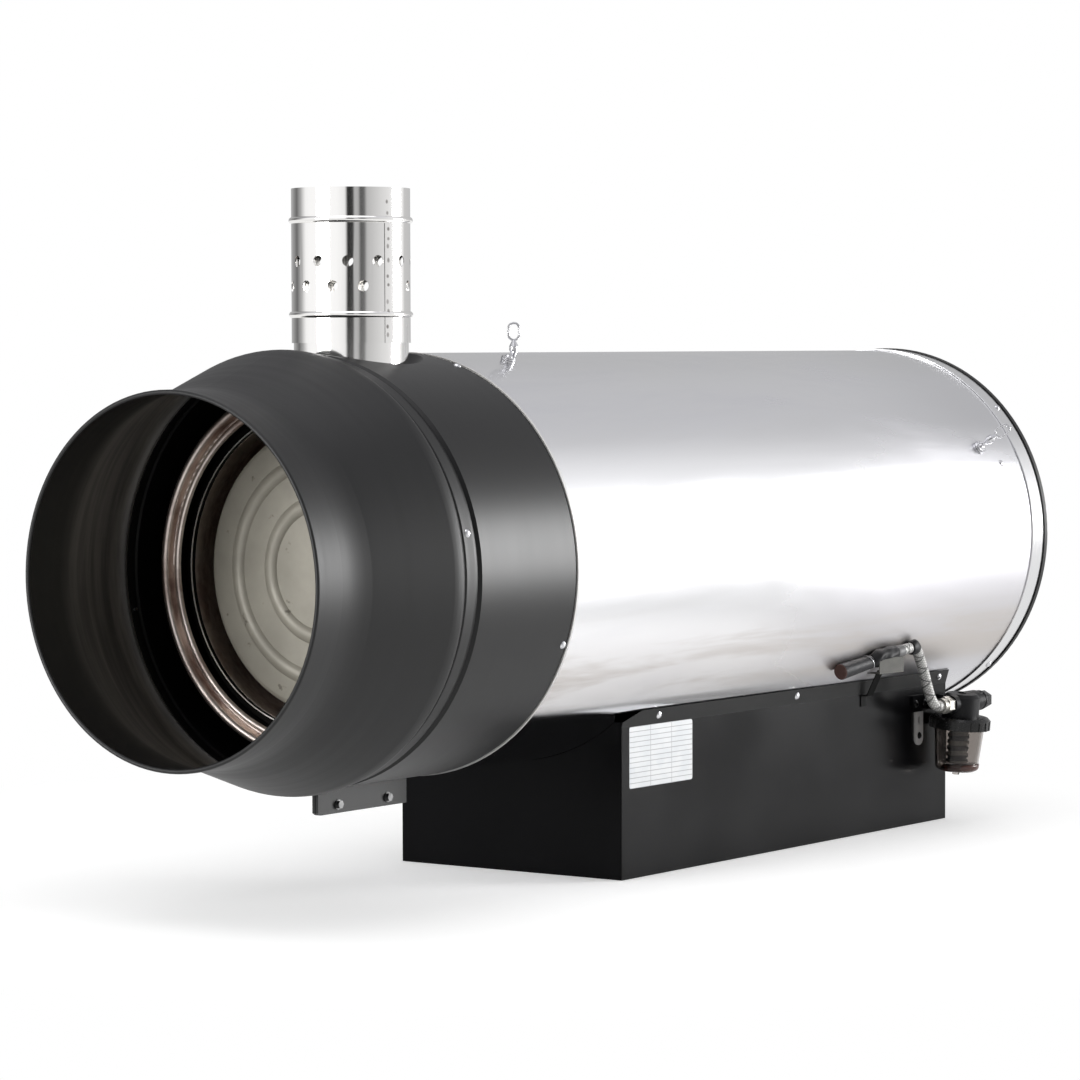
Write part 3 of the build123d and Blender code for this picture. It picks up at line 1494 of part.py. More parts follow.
# Fuel pump with its valve, ports and foot, and the coupling that drives it
pump_rear = pump_front + pump_length
pin_bore = coupling_pin_radius + running_gap
pin_hold = 16.0
line_port = 8.0
suction_port_station = pump_front + 25
nozzle_port_station = pump_front + 40
with BuildPart() as fuel_pump:
    body = outline(
        burner_plane,
        (pump_front, 0),
        (pump_front, 0.8 * pump_radius),
        (pump_front + 8, pump_radius),
        (pump_rear - 12, pump_radius),
        (pump_rear - 12, 0.7 * pump_radius),
        (pump_rear, 0.7 * pump_radius),
        (pump_rear, pin_bore),
        (pump_rear - pin_hold - 1, pin_bore),
        (pump_rear - pin_hold - 1, 0),
    )
    revolve(body, axis=burner_axis)
    port_root = pump_radius / 2
    with BuildSketch(Plane(origin=(burner_x, station(pump_front + 24), burner_height + port_root))):
        Circle(12)
    extrude(amount=port_root + 28)
    with BuildSketch(Plane(origin=(burner_x, station(suction_port_station), burner_height - port_root))):
        Circle(suction_line_radius + 3)
    extrude(amount=-port_root - line_port)
    with BuildSketch(
        Plane(origin=(burner_x - port_root, station(nozzle_port_station), burner_height), z_dir=(-1, 0, 0))
    ):
        Circle(nozzle_line_radius + 3)
    extrude(amount=port_root + line_port)
    with Locations((burner_x, station(pump_rear - 18), (burner_height + cover_sheet) / 2)):
        Box(0.8 * pump_radius, 10, burner_height - cover_sheet - 10)
    with Locations((burner_x, station(pump_rear - 18), cover_sheet + 2.5)):
        Box(1.6 * pump_radius, 10, 5)
save(fuel_pump, "fuel_pump")

coupling_front = pump_rear + 2
with BuildPart() as pump_coupling:
    body = outline(
        burner_plane,
        (pump_rear - pin_hold, 0),
        (pump_rear - pin_hold, coupling_pin_radius),
        (coupling_front, coupling_pin_radius),
        (coupling_front, coupling_radius),
        (blower_front - 2, coupling_radius),
        (blower_front - 2, burner_bore),
        (shaft_front - seat_gap, burner_bore),
        (shaft_front - seat_gap, 0),
    )
    revolve(body, axis=burner_axis)
save(pump_coupling, "pump_coupling")

# Burner duct: up from the blower, round a bend and into the chamber as the flame tube
duct_top = axis_height - duct_bend
duct_foot = blower_top + seat_gap
flame_tube_front = chamber_rear - flame_tube_depth
duct_bore = duct_radius - cover_sheet
elbow_station = duct_station - duct_bend
elbow_axis = Axis((0, station(elbow_station), duct_top), (1, 0, 0))


def duct_ring(plane):
    """Section of the duct's wall on a plane."""
    with BuildSketch(plane) as ring:
        Circle(duct_radius)
        Circle(duct_bore, mode=Mode.SUBTRACT)
    return ring.sketch


with BuildPart() as burner_duct:
    extrude(duct_ring(Plane(origin=(0, station(duct_station), duct_foot))), amount=duct_top - duct_foot)
    revolve(duct_ring(Plane(origin=(0, station(duct_station), duct_top))), axis=elbow_axis, revolution_arc=90)
    extrude(
        duct_ring(Plane(origin=(0, station(elbow_station), axis_height), z_dir=(0, -1, 0))),
        amount=elbow_station - flame_tube_front,
    )
    with Locations(Plane(origin=(-duct_radius, station(nozzle_line_station), axis_height), z_dir=(1, 0, 0))):
        Cylinder(nozzle_line_radius + seat_gap, duct_radius, mode=Mode.SUBTRACT)
save(burner_duct, "burner_duct")

# Burner head in the flame tube: fuel rod, nozzle, slotted diffuser disc and two electrodes
diffuser_station = flame_tube_front + 32
rod_end = nozzle_line_station + nozzle_line_radius + 4
with BuildPart() as burner_head:
    rod = outline(
        shell_plane,
        (flame_tube_front + 10, 0),
        (flame_tube_front + 10, 3),
        (flame_tube_front + 16, rod_radius - 1),
        (flame_tube_front + 22, rod_radius - 1),
        (flame_tube_front + 22, rod_radius),
        (rod_end, rod_radius),
        (rod_end, 0),
    )
    revolve(rod, axis=heater_axis)
    with BuildSketch(cross_plane(diffuser_station)):
        with Locations((0, axis_height)):
            Circle(duct_bore - seat_gap)
            with PolarLocations(0.68 * duct_bore, 8):
                Rectangle(0.5 * duct_bore, 4, rotation=20, mode=Mode.SUBTRACT)
    extrude(amount=2)
    for side in (1, -1):
        electrode_foot = (side * 1.9 * rod_radius, station(diffuser_station + electrode_back), axis_height)
        with BuildSketch(Plane(origin=electrode_foot, z_dir=(0, -1, 0))):
            Circle(electrode_radius)
        extrude(amount=electrode_length)
save(burner_head, "burner_head")


def bent_tube(radius, bend, *points):
    """Round tube along straight runs joined by bends of one radius."""
    with BuildPart() as tube:
        with BuildLine() as centre_line:
            FilletPolyline(*points, radius=bend)
        with BuildSketch(Plane(origin=centre_line.line @ 0, z_dir=centre_line.line % 0)):
            Circle(radius)
        sweep(path=centre_line.line)
    return tube


# Nozzle line: pump to burner head, through the casing and the duct's wall
nozzle_line = bent_tube(
    nozzle_line_radius,
    line_bend,
    (burner_x - pump_radius - line_port - seat_gap, station(nozzle_port_station), burner_height),
    (nozzle_line_x, station(nozzle_port_station), burner_height),
    (nozzle_line_x, station(nozzle_line_station), burner_height),
    (nozzle_line_x, station(nozzle_line_station), axis_height),
    (-rod_radius - seat_gap, station(nozzle_line_station), axis_height),
)
save(nozzle_line, "nozzle_line")

# Suction line: filter nipple to the pump's lower port, along the floor of the box
nipple_inner = box_half_width - cover_sheet - nipple_reach
suction_line_x = box_half_width - suction_line_inset
suction_line = bent_tube(
    suction_line_radius,
    line_bend,
    (nipple_inner - seat_gap, station(filter_station), nipple_height),
    (suction_line_x, station(filter_station), nipple_height),
    (suction_line_x, station(filter_station), suction_line_height),
    (suction_line_x, station(suction_port_station), suction_line_height),
    (burner_x, station(suction_port_station), suction_line_height),
    (burner_x, station(suction_port_station), burner_height - pump_radius - line_port - seat_gap),
)
save(suction_line, "suction_line")

# Ignition transformer on the floor of the box, with two terminals
transformer_middle = transformer_front + transformer_length / 2
transformer_rear = station(transformer_front + transformer_length)
with BuildPart() as ignition_transformer:
    with Locations((transformer_x, station(transformer_middle), cover_sheet + transformer_height / 2)):
        Box(transformer_width, transformer_length, transformer_height)
    fillet(ignition_transformer.edges().filter_by(Axis.Z), radius=6)
    with Locations(Plane(origin=(transformer_x, transformer_rear, transformer_height / 2), z_dir=(0, 1, 0))):
        with GridLocations(30, 0, 2, 1):
            Cylinder(7, 18, align=(Align.CENTER, Align.CENTER, Align.MIN))
save(ignition_transformer, "ignition_transformer")

# Fuel filter: everything stands on one leaning axis
tilt = radians(filter_tilt)
filter_origin = Vector(filter_x, station(filter_station), port_height)
filter_across = Vector(cos(tilt), 0, -sin(tilt))
filter_up = Vector(sin(tilt), 0, cos(tilt))
filter_plane = Plane(origin=filter_origin, x_dir=filter_across, z_dir=(0, -1, 0))
filter_axis = Axis(filter_origin, filter_up)


def filter_level(height):
    """Plane square to the filter's axis at a height from its ports."""
    return Plane(origin=filter_origin + filter_up * height, x_dir=filter_across, z_dir=filter_up)


ring_mouth_radius = head_radius + seat_gap
flange_radius = lock_ring_radius - ring_wall - seat_gap
head_flange_top = ring_top - ring_lip - seat_gap
head_flange_bottom = head_flange_top - filter_flange
bowl_flange_top = head_flange_bottom - seat_gap
bowl_flange_bottom = bowl_flange_top - filter_flange
spigot_bottom = head_flange_bottom - 11
with BuildPart() as filter_head:
    body = outline(
        filter_plane,
        (0, head_top),
        (head_radius - 5, head_top),
        (head_radius, head_top - 5),
        (head_radius, head_flange_top),
        (flange_radius, head_flange_top),
        (flange_radius, head_flange_bottom),
        (0.5 * element_radius, head_flange_bottom),
        (0.5 * element_radius, spigot_bottom),
        (0, spigot_bottom),
    )
    revolve(body, axis=filter_axis)
    with BuildSketch(Plane(origin=filter_origin, z_dir=(0, -1, 0))):
        Circle(port_radius)
    extrude(amount=front_port_reach)
    with BuildSketch(Plane(origin=filter_origin, z_dir=(0, 1, 0))):
        Circle(port_radius + 2)
    extrude(amount=rear_port_reach - 12)
    with BuildSketch(Plane(origin=filter_origin, z_dir=(0, 1, 0))):
        Circle(port_radius)
    extrude(amount=rear_port_reach)
    with BuildSketch(Plane(origin=filter_origin, x_dir=(0, 1, 0), z_dir=-filter_across)):
        Rectangle(arm_width, arm_height)
    extrude(amount=head_radius + arm_root)
    with BuildSketch(Plane(origin=(filter_x, station(filter_station), nipple_height), z_dir=(-1, 0, 0))):
        Circle(nipple_radius)
    extrude(amount=filter_x - nipple_inner)
save(filter_head, "filter_head")

# Plug in the rear port
with BuildPart() as filter_plug:
    rear_port = Plane(origin=filter_origin + Vector(0, rear_port_reach, 0), z_dir=(0, 1, 0))
    with BuildSketch(rear_port):
        Circle(1.05 * port_radius)
    extrude(amount=3)
    with BuildSketch(rear_port.offset(3)):
        RegularPolygon(0.95 * port_radius, 6)
    extrude(amount=plug_length - 3)
save(filter_plug, "filter_plug")

# Lock ring: clamps the bowl's flange to the head's; ribbed outside
with BuildPart() as filter_lock_ring:
    body = outline(
        filter_plane,
        (ring_mouth_radius, ring_top),
        (lock_ring_radius - ring_wall, ring_top),
        (lock_ring_radius, ring_top - ring_wall),
        (lock_ring_radius, ring_bottom),
        (lock_ring_radius - ring_wall, ring_bottom),
        (lock_ring_radius - ring_wall, ring_top - ring_lip),
        (ring_mouth_radius, ring_top - ring_lip),
    )
    revolve(body, axis=filter_axis)
    rib_height_on_ring = ring_top - ring_bottom - 4
    with BuildSketch(filter_level(ring_bottom)):
        with PolarLocations(lock_ring_radius - 0.5, lock_ring_ribs):
            Rectangle(3, 4)
    extrude(amount=rib_height_on_ring)
save(filter_lock_ring, "filter_lock_ring")

# Clear bowl with a drain boss, and the ribbed strainer in it
bowl_corner = bowl_round * (1 - sin(radians(45)))
inner_corner = (bowl_round - bowl_wall) * (1 - sin(radians(45)))
with BuildPart() as filter_bowl:
    with BuildSketch(filter_plane):
        with BuildLine():
            side_wall = Polyline(
                (flange_radius, bowl_flange_top),
                (flange_radius, bowl_flange_bottom),
                (bowl_top_radius, bowl_flange_bottom - 2),
                (bowl_foot_radius, bowl_bottom + bowl_round),
            )
            round_off = ThreePointArc(
                side_wall @ 1,
                (bowl_foot_radius - bowl_corner, bowl_bottom + bowl_corner),
                (bowl_foot_radius - bowl_round, bowl_bottom),
            )
            boss = Polyline(
                round_off @ 1,
                (drain_radius, bowl_bottom),
                (drain_radius - 1, bowl_bottom - drain_length),
                (0, bowl_bottom - drain_length),
                (0, bowl_bottom + bowl_wall),
                (bowl_foot_radius - bowl_round, bowl_bottom + bowl_wall),
            )
            inner_round = ThreePointArc(
                boss @ 1,
                (bowl_foot_radius - bowl_wall - inner_corner, bowl_bottom + bowl_wall + inner_corner),
                (bowl_foot_radius - bowl_wall, bowl_bottom + bowl_round),
            )
            Polyline(
                inner_round @ 1,
                (bowl_top_radius - bowl_wall, bowl_flange_bottom - 2),
                (bowl_top_radius - bowl_wall, bowl_flange_top),
                (flange_radius, bowl_flange_top),
            )
        make_face()
    revolve(axis=filter_axis)
save(filter_bowl, "filter_bowl")

element_top = head_flange_bottom - seat_gap
element_bottom = bowl_bottom + element_gap
element_step = (element_top - element_bottom) / (2 * element_ribs + 1)
element_outer = []
for k in range(2 * element_ribs + 1):
    rib_reach = element_radius if k % 2 == 0 else element_radius - 2
    element_outer.append((rib_reach, element_top - k * element_step))
    element_outer.append((rib_reach, element_top - (k + 1) * element_step))
element_bore = element_radius / 2 + seat_gap
with BuildPart() as filter_element:
    body = outline(
        filter_plane,
        (element_bore, element_top),
        *element_outer,
        (0, element_bottom),
        (0, element_bottom + 3),
        (element_bore, element_bottom + 3),
    )
    revolve(body, axis=filter_axis)
save(filter_element, "filter_element")

# Filter bracket: plate on the cover and the leaning arm that carries the head
with BuildPart() as filter_bracket:
    plate_middle = bracket_plate_front + bracket_plate_length / 2
    with Locations((box_half_width + bracket_plate / 2, station(plate_middle), port_height)):
        Box(bracket_plate, bracket_plate_length, bracket_plate_height)
    with BuildSketch(
        Plane(
            origin=filter_origin - filter_across * (head_radius + arm_root + seat_gap),
            x_dir=(0, 1, 0),
            z_dir=-filter_across,
        )
    ):
        Rectangle(arm_width, arm_height)
    extrude(amount=filter_reach - head_radius - arm_root - bracket_plate / 2)
    with Locations(nipple_place):
        Cylinder(nipple_hole_radius, filter_x, mode=Mode.SUBTRACT)
    with Locations(*bracket_screws_at):
        Cylinder(screw_hole_radius, 4 * bracket_plate, mode=Mode.SUBTRACT)
save(filter_bracket, "filter_bracket")

# Slotted strip that hangs below the bracket's plate
strip_foot = (box_half_width, station(strip_station), strip_top)
with BuildPart() as filter_strip:
    with BuildSketch(Plane(origin=strip_foot, x_dir=(0, 1, 0), z_dir=(1, 0, 0))):
        with Locations((0, -(strip_length - strip_width / 2) / 2)):
            Rectangle(strip_width, strip_length - strip_width / 2)
        with Locations((0, strip_width / 2 - strip_length)):
            Circle(strip_width / 2)
        with Locations((0, -strip_slot_drop)):
            SlotOverall(12, 6, rotation=90, mode=Mode.SUBTRACT)
        with Locations((0, -strip_screw_drop)):
            Circle(screw_hole_radius, mode=Mode.SUBTRACT)
    extrude(amount=strip_sheet)
save(filter_strip, "filter_strip")

# Hose fitting: hexagon on the front port and the crimped ferrule
front_port = Plane(origin=filter_origin - Vector(0, front_port_reach, 0), z_dir=(0, -1, 0))
with BuildPart() as hose_fitting:
    with BuildSketch(front_port):
        RegularPolygon(nut_radius, 6)
    extrude(amount=nut_length)
    with BuildSketch(front_port.offset(nut_length)):
        Circle(ferrule_radius)
    extrude(amount=ferrule_length)
save(hose_fitting, "hose_fitting")

# Braided hose: straight out of the ferrule, up beside the box, and over into its sleeve
hose_start = filter_station - front_port_reach - nut_length - ferrule_length
hose_points = [
    Vector(filter_x + across, station(hose_start - run), port_height + rise) for across, run, rise in hose_route
]
hose_runs = [after - before for before, after in zip(hose_points, hose_points[1:])]
hose_radii = []
for before, after in zip(hose_runs, hose_runs[1:]):
    half_bend = radians(before.get_angle(after)) / 2
    hose_radii.append(0.45 * min(before.length, after.length) / tan(half_bend))
with BuildPart() as fuel_hose:
    with BuildLine() as hose_line:
        FilletPolyline(*hose_points, radius=hose_radii)
    with BuildSketch(Plane(origin=hose_line.line @ 0, z_dir=hose_line.line % 0)):
        Circle(hose_radius)
    sweep(path=hose_line.line)
save(fuel_hose, "fuel_hose")
hose_length = hose_line.wires()[0].length
print("hose radii", [round(radius, 1) for radius in hose_radii])
print("hose length", round(hose_length, 1))
print("hose volume over section times length", fuel_hose.part.volume / (pi * hose_radius**2 * hose_length))

# Sleeve over the hose's free end, in line with its last run, and the tie behind it
sleeve_heading = hose_runs[-1].normalized()
sleeve_plane = Plane(origin=hose_points[-1], z_dir=sleeve_heading)
with BuildPart() as hose_sleeve:
    with BuildSketch(sleeve_plane):
        Circle(sleeve_radius)
    extrude(amount=sleeve_reach)
    fillet(hose_sleeve.edges().sort_by(Axis.Y)[0], radius=2.5)
save(hose_sleeve, "hose_sleeve")

tie_plane = Plane(
    origin=(hose_points[-2] + hose_points[-3]) / 2 - hose_runs[-2].normalized() * (tie_width / 2),
    z_dir=hose_runs[-2].normalized(),
)
with BuildPart() as hose_tie:
    with BuildSketch(tie_plane):
        Circle(tie_radius)
        Circle(hose_radius + 0.5, mode=Mode.SUBTRACT)
    extrude(amount=tie_width)
save(hose_tie, "hose_tie")

# Rest for the sleeve: folded plate that follows the sleeve's heading, and a narrow arm with a foot on the cover
level_heading = Vector(sleeve_heading.X, sleeve_heading.Y, 0).normalized()
level_across = Vector(-level_heading.Y, level_heading.X, 0)
rest_centre = hose_points[-1] - sleeve_heading * (rest_lead / sleeve_heading.Y)
rest_plane = Plane(
    origin=Vector(rest_centre.X, rest_centre.Y, 0) - level_heading * (rest_length / 2),
    x_dir=level_across,
    z_dir=level_heading,
)
arm_centre = rest_centre - level_heading * ((rest_length - rest_arm) / 2)
wall_inner = sleeve_radius + seat_gap
wall_outer = wall_inner + rest_sheet
rest_floor = rest_centre.Z - rest_floor_drop
rest_top = rest_floor + rest_wall
foot_top = cover_bend_height - 1
foot_face = box_half_width + seat_gap
rest_inner = rest_centre.X - box_half_width + rest_foot / 2
with BuildPart() as hose_rest:
    plate = outline(
        rest_plane,
        (wall_outer, rest_top),
        (wall_outer, rest_floor),
        (-wall_outer, rest_floor),
        (-wall_outer, rest_floor + rest_sheet),
        (wall_inner, rest_floor + rest_sheet),
        (wall_inner, rest_top),
    )
    extrude(plate, amount=rest_length)
    arm = outline(
        rest_plane,
        (-wall_inner, rest_floor),
        (0.8 - rest_knee, rest_floor),
        (0.8 - rest_shelf, foot_top - rest_sheet),
        (-rest_inner, foot_top - rest_sheet),
        (-rest_inner, foot_top),
        (-rest_shelf, foot_top),
        (-rest_knee, rest_floor + rest_sheet),
        (-wall_inner, rest_floor + rest_sheet),
    )
    extrude(arm, amount=rest_arm)
    with Locations((0, arm_centre.Y, foot_top)):
        Box(2 * foot_face, 2 * rest_arm, 8 * rest_sheet, mode=Mode.SUBTRACT)
    with Locations((foot_face + rest_sheet / 2, arm_centre.Y, foot_top - rest_foot / 2)):
        Box(rest_sheet, rest_arm, rest_foot)
save(hose_rest, "hose_rest")

# Swivel hangers: spools on the casing, a link that turns round each, and an eye that turns in the link
groove = 2 * link_wire + 0.4
spool_base = 1.5
spool_top = spool_base + groove
link_height = spool_base + groove / 2
neck_out = post_flange + swivel_neck + 0.5
with BuildPart() as hanger_post:
    with BuildSketch(Plane.XZ):
        with BuildLine():
            Polyline(
                (0, 0),
                (post_flange, 0),
                (post_flange, spool_base),
                (post_radius, spool_base),
                (post_radius, spool_top),
                (post_flange, spool_top),
                (post_flange, spool_top + 1.2),
                (screw_head_radius, spool_top + 1.2),
                (screw_head_radius, spool_top + 1.7),
                (0.7 * screw_head_radius, spool_top + 1.2 + screw_head_height),
                (0, spool_top + 1.2 + screw_head_height),
                close=True,
            )
        make_face()
    revolve(axis=Axis.Z)
    with BuildSketch(Plane.XY):
        Circle(screw_shank_radius)
    extrude(amount=-screw_length)
with BuildPart() as hanger_posts:
    with Locations(*hanger_posts_at):
        add(hanger_post.part)
save(hanger_posts, "hanger_posts")


def turned_vector(place, lean, heading):
    """Direction that leans from a place's z by an angle, towards a heading in its own plane."""
    flat = place.x_dir * cos(radians(heading)) + place.y_dir * sin(radians(heading))
    return place.z_dir * cos(radians(lean)) + flat * sin(radians(lean))


def section_plane(origin, up, across):
    """Plane through an axis, its y along the axis, for turning round it."""
    return Plane(origin=origin, x_dir=across, z_dir=across.cross(up))


for name, (side, angle, distance, turns) in hanger_places.items():
    lean, lean_heading, neck_heading = turns
    place = shell_place(angle, distance, casing_radius)
    neck_direction = turned_vector(place, 90, side * neck_heading)
    swivel = turned_vector(place, lean, side * lean_heading)
    facing = Vector(side * eye_facing[0], eye_facing[1], eye_facing[2])
    facing = (facing - swivel * facing.dot(swivel)).normalized()
    ring_centre = place.origin + place.z_dir * link_height
    barrel_start = ring_centre + neck_direction * neck_out
    barrel_end = barrel_start + swivel * link_barrel
    eye_start = barrel_end + swivel * seat_gap
    eye_centre = eye_start + swivel * (eye_cone + eye_length / 2 - eye_wire / 2)

    with BuildPart() as hanger_link:
        with BuildSketch(section_plane(ring_centre, place.z_dir, neck_direction)):
            with Locations((link_ring_radius, 0)):
                Circle(link_wire)
        revolve(axis=Axis(ring_centre, place.z_dir))
        neck_root = ring_centre + neck_direction * link_ring_radius
        with BuildSketch(Plane(origin=neck_root, z_dir=neck_direction)):
            Circle(link_wire)
        extrude(amount=neck_out - link_ring_radius)
        barrel = outline(
            section_plane(barrel_start, swivel, facing),
            (0, -swivel_neck),
            (0.8 * swivel_neck, -swivel_neck / 2),
            (swivel_neck, link_height),
            (swivel_radius, link_barrel - 3),
            (swivel_radius, link_barrel),
            (0, link_barrel),
        )
        revolve(barrel, axis=Axis(barrel_start, swivel))
        with BuildSketch(Plane(origin=barrel_end, z_dir=-swivel)):
            Circle(swivel_pin + running_gap)
        extrude(amount=pin_length, mode=Mode.SUBTRACT)
    save(hanger_link, f"hanger_link_{name}")

    with BuildPart() as hanger_eye:
        with BuildSketch(Plane(origin=eye_centre, x_dir=swivel, z_dir=facing)):
            SlotOverall(eye_length, eye_width)
            SlotOverall(eye_length - 2 * eye_wire, eye_width - 2 * eye_wire, mode=Mode.SUBTRACT)
        extrude(amount=eye_wire / 2, both=True)
        face_edges = hanger_eye.edges().filter_by(lambda edge: abs((edge @ 0 - edge @ 1).dot(facing)) < 0.1)
        fillet(face_edges, radius=0.4 * eye_wire)
        cone = outline(
            section_plane(eye_start, swivel, facing),
            (0, seat_gap - pin_length),
            (swivel_pin, seat_gap - pin_length),
            (swivel_pin, 0),
            (swivel_radius, 0),
            (swivel_radius, 2),
            (swivel_neck, eye_cone),
            (0, eye_cone),
        )
        revolve(cone, axis=Axis(eye_start, swivel))
    save(hanger_eye, f"hanger_eye_{name}")
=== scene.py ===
import random
from math import cos, pi, radians, sin, sqrt

import bpy
from mathutils import Matrix, Vector


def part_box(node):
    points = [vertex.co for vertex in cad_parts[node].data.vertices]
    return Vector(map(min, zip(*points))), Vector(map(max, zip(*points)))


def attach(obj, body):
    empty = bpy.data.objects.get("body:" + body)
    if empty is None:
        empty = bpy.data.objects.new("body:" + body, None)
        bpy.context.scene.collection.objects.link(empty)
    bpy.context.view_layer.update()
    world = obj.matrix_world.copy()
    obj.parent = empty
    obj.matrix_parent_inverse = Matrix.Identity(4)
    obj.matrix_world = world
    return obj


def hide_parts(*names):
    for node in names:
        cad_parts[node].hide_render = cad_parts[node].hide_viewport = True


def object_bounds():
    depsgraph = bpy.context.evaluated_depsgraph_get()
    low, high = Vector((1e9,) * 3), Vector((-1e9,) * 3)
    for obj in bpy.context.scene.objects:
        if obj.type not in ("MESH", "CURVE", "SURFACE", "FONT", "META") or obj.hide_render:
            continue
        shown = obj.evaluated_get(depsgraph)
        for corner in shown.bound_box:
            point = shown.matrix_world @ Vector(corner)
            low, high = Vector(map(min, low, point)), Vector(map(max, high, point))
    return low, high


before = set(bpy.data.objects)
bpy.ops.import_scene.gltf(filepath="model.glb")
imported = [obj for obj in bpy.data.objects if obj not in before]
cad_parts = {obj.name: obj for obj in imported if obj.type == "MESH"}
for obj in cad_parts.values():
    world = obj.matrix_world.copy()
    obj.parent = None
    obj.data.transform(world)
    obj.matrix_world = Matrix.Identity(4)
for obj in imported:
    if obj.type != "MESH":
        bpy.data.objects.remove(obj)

cad_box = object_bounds()

# Main sizes, in metres, worked out from the frame
LENGTH = cad_box[1][1] - cad_box[0][1]
CASING_HEM_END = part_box("casing")[0].y + 0.0042
CASING_RADIUS = (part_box("flue_band")[1].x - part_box("flue_band")[0].x) / 2
AXIS_HEIGHT = (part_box("outlet_cone")[1].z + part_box("outlet_cone")[0].z) / 2
COVER_LOW, COVER_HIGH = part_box("side_cover_right")
COVER_STRIP_LOW = COVER_HIGH.z - 0.0204
BLACK_SCREWS_BELOW = COVER_HIGH.z - 0.024
FLUE_LOW, FLUE_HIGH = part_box("flue_pipe")
FLUE_CENTRE = (FLUE_LOW + FLUE_HIGH) / 2
FLUE_RADIUS = 0.0758
SEAM_ANGLE = radians(-14.5)
RING_LOW, RING_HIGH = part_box("exchanger_front_ring")
DISH_RADIUS = RING_HIGH.x - 0.0246
DISH_FRONT = RING_LOW.y + 0.012
RING_HEM_RADIUS = RING_HIGH.x - 0.0339
RING_HEM_END = RING_LOW.y + 0.0216
REST_PLATE_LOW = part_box("hose_rest")[1].z - 0.022
BOWL_LOW, BOWL_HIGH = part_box("filter_bowl")
BOWL_CENTRE = (BOWL_LOW + BOWL_HIGH) / 2
HEATER = "heater"


def station(distance):
    """Y of a point that far behind the outlet's rim."""
    return distance - LENGTH / 2


# Plate on the right cover, just below the cover's upper bend
PLATE_LENGTH = 0.151
PLATE_HEIGHT = 0.0815
PLATE_CORNER = 0.004
PLATE_THICK = 0.0004
PLATE_FRONT = station(0.714)
PLATE_BOTTOM = COVER_STRIP_LOW - 0.0005 - PLATE_HEIGHT

# Camera, at the photograph's viewing angle
CAMERA_PLACE = Vector((3.1638, station(-3.6835), 0.7036))
CAMERA_YAW = 0.6179
CAMERA_PITCH = 0.0482
CAMERA_ROLL = -0.0028
CAMERA_LENS = 135.25


def add_camera():
    """Camera that looks along the yaw and the pitch, rolled a little."""
    forward = cos(CAMERA_PITCH)
    ahead = Vector((-sin(CAMERA_YAW) * forward, cos(CAMERA_YAW) * forward, -sin(CAMERA_PITCH)))
    level = Vector((cos(CAMERA_YAW), sin(CAMERA_YAW), 0))
    upright = level.cross(ahead)
    right = level * cos(CAMERA_ROLL) + upright * sin(CAMERA_ROLL)
    up = upright * cos(CAMERA_ROLL) - level * sin(CAMERA_ROLL)
    data = bpy.data.cameras.new("camera")
    data.lens = CAMERA_LENS
    data.sensor_width = 36
    data.clip_end = 100
    camera = bpy.data.objects.new("camera", data)
    turn = Matrix((right, up, -ahead)).transposed().to_4x4()
    camera.matrix_world = Matrix.Translation(CAMERA_PLACE) @ turn
    bpy.context.scene.collection.objects.link(camera)
    bpy.context.scene.camera = camera


add_camera()


# Materials
SHEET_COLOUR = (0.003, 0.003, 0.0032)
BOX_COLOUR = (0.003, 0.003, 0.0034)


